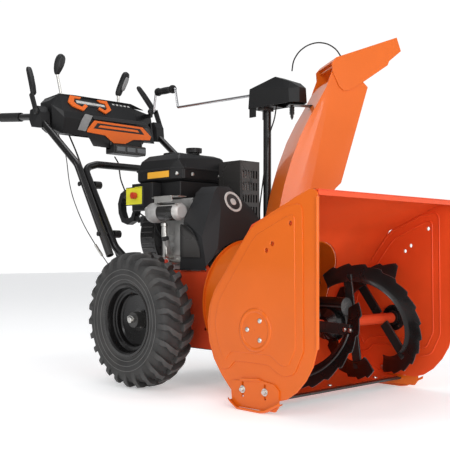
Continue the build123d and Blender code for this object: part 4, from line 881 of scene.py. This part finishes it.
# ---- chute --------------------------------------------------------------------------
rebuild_all(
    ("chute", ORANGE, 1.0, 3, 25),
    ("chute_pivot", BLACK_PAINT, 0.5),
    ("deflector", ORANGE, 1.0, 3, 25),
    ("deflector_cable", CABLE_SKIN, 0.0),
    ("gearbox_cover", PLASTIC, 5.0, 4, 14),
    ("chute_post", BLACK_PAINT, 0.8),
    ("crank_rod", CHROME, 0.0),
    ("crank_grip", PLASTIC, 1.5, 3),
    ("crank_eyelet", PLASTIC, 1.0),
)

# ---- handlebars and dash ------------------------------------------------------------
rebuild_all(
    ("handlebar_lower", BLACK_PAINT, 0.0),
    ("handlebar_upper", BLACK_PAINT, 0.0),
    ("handle_fasteners", PLASTIC, 1.0),
    ("grips", GRIP_RUBBER, 1.5, 3),
    ("lever_brackets", PLASTIC, 3.0, 3),
)


def handle(name, sections, material, count=28):
    """Rounded moulding lofted through sections of (x, y, z, half width, half depth)."""
    centres = [mm(*section[:3]) for section in sections]
    last = len(sections) - 1
    rings = []
    for i, (_, _, _, wide, deep) in enumerate(sections):
        ahead = (centres[min(i + 1, last)] - centres[max(i - 1, 0)]).normalized()
        across = (Vector((1, 0, 0)) - ahead * ahead.x).normalized()
        back = ahead.cross(across)
        ring = []
        for u, v in circle((0, 0), 1, count):
            u, v = math.copysign(abs(u) ** 0.75, u), math.copysign(abs(v) ** 0.75, v)
            ring.append(centres[i] + (across * wide * u + back * deep * v) / 1000)
        rings.append(ring)
    return loft(name, rings, material, 45)


def clutch_paddle(side, label, lean):
    """Clutch lever: side arm on its pivot and a long rounded paddle above the grip, leaning inwards."""
    arm = [(side * x, y, z) for x in (286.0, 292.5) for y, z in
           ((1112, 917), (1130, 913), (1112, 932), (1166, 989), (1144, 1003))]
    spine = ((0.0, 1150, 990, 5, 5), (0.02, 1152, 992, 9, 8), (0.06, 1154, 996, 10.5, 9.5),
             (0.3, 1166, 1022, 11.5, 10), (0.65, 1187, 1060, 12, 9.5), (0.9, 1204, 1088, 11.5, 8),
             (0.98, 1209, 1097, 9.5, 6.5), (1.0, 1211, 1100, 5, 3))
    paddle = [(side * (281 - lean * t), *section) for t, *section in spine]
    boss = [(0, 4.3), (0, 12), (6, 12), (9, 9), (9, 4.3)]
    pieces = [hull("arm", arm, PLASTIC, 2.5), handle("paddle", paddle, PLASTIC),
              lathe("boss", boss, mm(side * 285.5, 1122, 925), (side, 0, 0), PLASTIC, 32)]
    settle(merge(f"clutch_lever_{label}_look", pieces), f"clutch_{label}", f"clutch_lever_{label}")


clutch_paddle(-1, "right", 14)
clutch_paddle(1, "left", 40)
rebuild("console_shell", PLASTIC, 6.0, 4, 14)


def on_lower(x, z, out):
    """Point on the lower face of the dash, raised by out."""
    return mm(x, 1062 - (z - 845) * 12 / 57 - 0.979 * out, z - 0.206 * out)


def on_upper(x, z, out):
    """Point on the sloping upper face of the dash, raised by out."""
    return mm(x, 1056 + (z - 926) * 36 / 66 - 0.878 * out, z + 0.479 * out)


def on_brow(x, z, out):
    """Point on the narrow band between the two faces, raised by out."""
    return mm(x, 1049.5 + (z - 902) / 4 - out, z)


def dash():
    """Bezel brackets, inlay, badge plate without lettering, brow, side strip and far panel."""
    left = [(-169, 990), (-186, 963), (-172, 947), (-129, 934), (-103, 955), (-113, 963), (-130, 949),
            (-152, 957), (-160, 966), (-152, 981), (-128, 981), (-120, 989)]
    right = [(-5, 989), (2, 953), (-28, 935), (-58, 950), (-50, 959), (-29, 948), (-14, 958), (-17, 976),
             (-40, 979), (-50, 988)]
    pieces = [plate("bezel_left", left, 6.0, on_upper, ORANGE_PLASTIC, 1.2, (), 3),
              plate("bezel_right", right, 6.0, on_upper, ORANGE_PLASTIC, 1.2, (), 3)]
    inlay = [(-152, 980), (-18, 977), (-15, 958), (-150, 958)]
    pieces.append(plate("inlay", inlay, 2.0, on_upper, GREY_PLASTIC, 0.6))
    stripe = [(-148, 975), (-22, 972), (-20, 964), (-146, 964)]
    pieces.append(plate("inlay_stripe", stripe, 3.0, on_upper, PALE_INLAY, 0.6))
    for x in (20, 38, 56, 74, 92):
        mark = [(x, 985), (x + 10, 985), (x + 12, 980), (x + 2, 980)]
        pieces.append(plate("dash_mark", mark, 0.6, on_upper, PALE_INLAY, 0.1))
    badge = [(-88, 905), (136, 903), (184, 872), (180, 858), (100, 852), (64, 833), (9, 831), (-33, 856),
             (-114, 860), (-114, 870)]
    pieces.append(plate("badge", badge, 5.0, on_lower, ORANGE_PLASTIC, 1.6, (), 3))
    field = [(-74, 897), (124, 896), (148, 876), (-90, 876)]
    pieces.append(plate("badge_field", field, 6.2, on_lower, PLASTIC, 0.8))
    bar = [(-62, 891), (112, 890), (122, 882), (-70, 882)]
    pieces.append(plate("badge_bar", bar, 7.2, on_lower, ORANGE_PLASTIC, 0.8))
    brow = [(-98, 922), (146, 925), (164, 911), (-90, 908)]
    pieces.append(plate("brow", brow, 7.0, on_brow, GREY_PLASTIC, 2.5, (), 3))
    strip = [(-130, 924), (-143, 900), (-155, 864), (-119, 862), (-110, 890), (-97, 920)]
    pieces.append(plate("side_strip", strip, 3.0, on_lower, GREY_INLAY, 1.0))
    far = [(104, 1052, 900), (104, 1063, 848), (196, 1058, 868), (200, 1068, 852), (150, 1052, 904),
           (196, 1082, 910), (104, 1095, 925), (210, 1095, 900), (104, 1095, 848), (205, 1098, 852)]
    pieces.append(hull("far_panel", far, PLASTIC, 3.0))
    rim_bar = [(-216, 1090, 990), (-150, 1088, 996), (112, 1088, 996), (-216, 1100, 996), (112, 1104, 997),
               (190, 1104, 982), (186, 1112, 982)]
    pieces.append(hull("top_edge", rim_bar, PLASTIC, 2.0))
    settle(merge("dash_trim", pieces), "machine", "console_trim")


def lamp():
    """Bar lamp in its bracket under the dash."""
    bracket = [(-60, 1062, 850), (160, 1062, 850), (-30, 1064, 826), (140, 1064, 826), (-60, 1112, 850),
               (160, 1112, 850), (-20, 1104, 816), (130, 1104, 816)]
    pieces = [hull("bracket", bracket, PLASTIC, 2.5)]
    pieces.append(box("lamp_body", (-6, 146), (1036, 1092), (790, 825), PLASTIC, 4.0))
    pieces.append(box("lamp_bezel", (-2, 142), (1031, 1037), (794, 821), BLACK_PAINT, 2.0))
    for x0 in (4, 52, 100):
        pieces.append(box("lamp_lens", (x0, x0 + 38), (1029.5, 1033), (799, 816), LENS, 1.5))
    for x in (-6, 140):
        pieces.append(box("lamp_ear", (x, x + 6), (1060, 1090), (806, 846), BLACK_PAINT, 1.2))
    settle(merge("headlight_look", pieces), "machine", "headlight")


dash()
lamp()


def speed_knob():
    """Speed selector: bright rod and a leaning moulded knob with a grey face."""
    pieces = [tube("rod", [mm(-164, 1134, 944), mm(-195, 1131, 1074)], 5.0, ZINC)]
    knob = [(-194.6, 1131, 1071, 5, 5), (-194.8, 1131, 1073, 8.5, 8.5), (-195, 1131, 1079, 10.5, 10.5),
            (-193, 1130, 1091, 14.5, 13.5), (-189, 1129, 1106, 17.5, 15.5), (-184, 1129, 1122, 18.5, 16),
            (-179, 1130, 1136, 16.5, 14.5), (-176, 1131, 1144, 12, 11), (-174.5, 1131, 1148, 6, 6)]
    pieces.append(handle("knob", knob, PLASTIC))
    face = [(-194, 1119, 1096, 5, 4), (-192, 1116.5, 1103, 9, 5), (-186, 1115, 1122, 10, 5),
            (-181, 1117, 1134, 6, 4)]
    pieces.append(handle("knob_face", face, GREY_PLASTIC))
    settle(merge("speed_lever_look", pieces), "speed_selector", "speed_lever")


def joystick():
    """Deflector joystick: bright rod and a pistol grip with a pale inset."""
    pieces = [tube("rod", [mm(80, 1126, 944), mm(75, 1122, 1032)], 5.0, ZINC)]
    grip = [(74.8, 1122, 1027, 5, 5), (75, 1122, 1029, 9, 9), (76, 1121, 1036, 12, 11.5),
            (80, 1119, 1050, 13, 12.5), (88, 1116, 1072, 13.5, 13), (97, 1114, 1092, 14.5, 14),
            (105, 1114, 1108, 15, 14), (109, 1115, 1117, 12.5, 12), (111, 1116, 1121, 7, 7)]
    pieces.append(handle("grip", grip, PLASTIC))
    inset = [(85, 1113, 1046, 4, 5), (87, 1112, 1051, 8.5, 9.5), (92, 1110, 1066, 10, 11),
             (99, 1108, 1084, 10.5, 11.5), (104, 1107, 1096, 9.5, 10.5), (106, 1108, 1101, 5, 6)]
    pieces.append(handle("inset", inset, GREY_INLAY))
    settle(merge("deflector_stick_look", pieces), "deflector_joystick", "deflector_stick")


speed_knob()
joystick()
rebuild("control_cables", CABLE_SKIN, 0.0)
threads = [(k * 2.2, 5.4 if k % 2 else 3.6) for k in range(24)] + [(50.6, 1.7), (0, 1.7)]
settle(lathe("cable_adjuster", threads, mm(-216.5, 858, 442), (0.09, -0.7, -0.75), ZINC, 16, 60), "machine")


# ---- floor, light and camera --------------------------------------------------------
FLOOR_REACH = 14
FLOOR_GLOW = 0.34
LAMPS = (  # name, place, target, edge length, watts
    ("key", (-3.4, -2.2, 3.0), (0, -0.2, 0.4), 1.6, 36),
    ("side", (-3.6, 1.6, 2.4), (0, 0.2, 0.6), 1.2, 20),
    ("front", (-1.15, -2.9, 0.85), (0.3, -0.7, 0.2), 1.1, 24),
    ("top", (0.2, 0.4, 3.8), (0, 0, 0.4), 2.0, 34),
)
CAMERA_PLACE = (-1.873, -2.078, 0.407)
CAMERA_HEADING = -43.84
CAMERA_LENS = 65.55
CAMERA_RISE = 0.0662


def floor():
    """White floor that gives off a little light of its own."""
    mesh = bpy.data.meshes.new("floor")
    r = FLOOR_REACH
    mesh.from_pydata([(-r, -r, 0), (r, -r, 0), (r, r, 0), (-r, r, 0)], [], [(0, 1, 2, 3)])
    ground = bpy.data.objects.new("floor", mesh)
    scene.collection.objects.link(ground)
    pale = surface("pale_floor", (0.9, 0.9, 0.9), 0.7, mottle=0.01, grain=40, bump=0.0)
    glow = pale.node_tree.nodes["Principled BSDF"]
    glow.inputs["Emission Color"].default_value = (1.0, 1.0, 1.0, 1.0)
    glow.inputs["Emission Strength"].default_value = FLOOR_GLOW
    mesh.materials.append(pale)


def sky():
    """White studio, greyer overhead and dim towards the rear right for dark reflections."""
    world = bpy.data.worlds.new("studio")
    scene.world = world
    world.use_nodes = True
    tree = world.node_tree
    background = tree.nodes["Background"]
    direction = add_node(tree, "ShaderNodeTexCoord", (-900, 0)).outputs["Generated"]
    split = add_node(tree, "ShaderNodeSeparateXYZ", (-700, 0))
    tree.links.new(direction, split.inputs["Vector"])
    height = remap(tree, split.outputs["Z"], 0.28, 0.75, 0.0, 1.0, (-500, 0))
    dome = blend_colours(tree, height, (1.0, 1.0, 1.0), (0.32, 0.33, 0.35), (-300, 0))
    toward = add_node(tree, "ShaderNodeVectorMath", (-700, -250), operation="DOT_PRODUCT")
    tree.links.new(direction, toward.inputs[0])
    toward.inputs[1].default_value = (-0.70, 0.71, 0.0)
    shade = remap(tree, toward.outputs["Value"], 0.45, 0.85, 0.0, 1.0, (-500, -250))
    dim = blend_colours(tree, shade, (1.0, 1.0, 1.0), (0.22, 0.22, 0.22), (-300, -250))
    mixed = add_node(tree, "ShaderNodeMix", (-120, -100), data_type="RGBA", blend_type="MULTIPLY")
    mixed.inputs[0].default_value = 1.0
    tree.links.new(dome, mixed.inputs[6])
    tree.links.new(dim, mixed.inputs[7])
    tree.links.new(mixed.outputs[2], background.inputs["Color"])
    background.inputs["Strength"].default_value = 1.04


def lights():
    for name, place, target, size, power in LAMPS:
        light_data = bpy.data.lights.new(name, "AREA")
        light_data.shape = "SQUARE"
        light_data.size = size
        light_data.energy = power
        light = bpy.data.objects.new(name, light_data)
        light.location = place
        aim = Vector(target) - Vector(place)
        light.rotation_euler = aim.to_track_quat("-Z", "Y").to_euler()
        scene.collection.objects.link(light)


def camera():
    camera_data = bpy.data.cameras.new("camera")
    camera_data.lens = CAMERA_LENS
    camera_data.sensor_width = 36.0
    camera_data.shift_y = CAMERA_RISE
    eye = bpy.data.objects.new("camera", camera_data)
    eye.location = CAMERA_PLACE
    eye.rotation_euler = (math.radians(90), 0, math.radians(CAMERA_HEADING))
    scene.collection.objects.link(eye)
    scene.camera = eye


floor()
sky()
lights()
camera()
scene.view_settings.view_transform = "Standard"
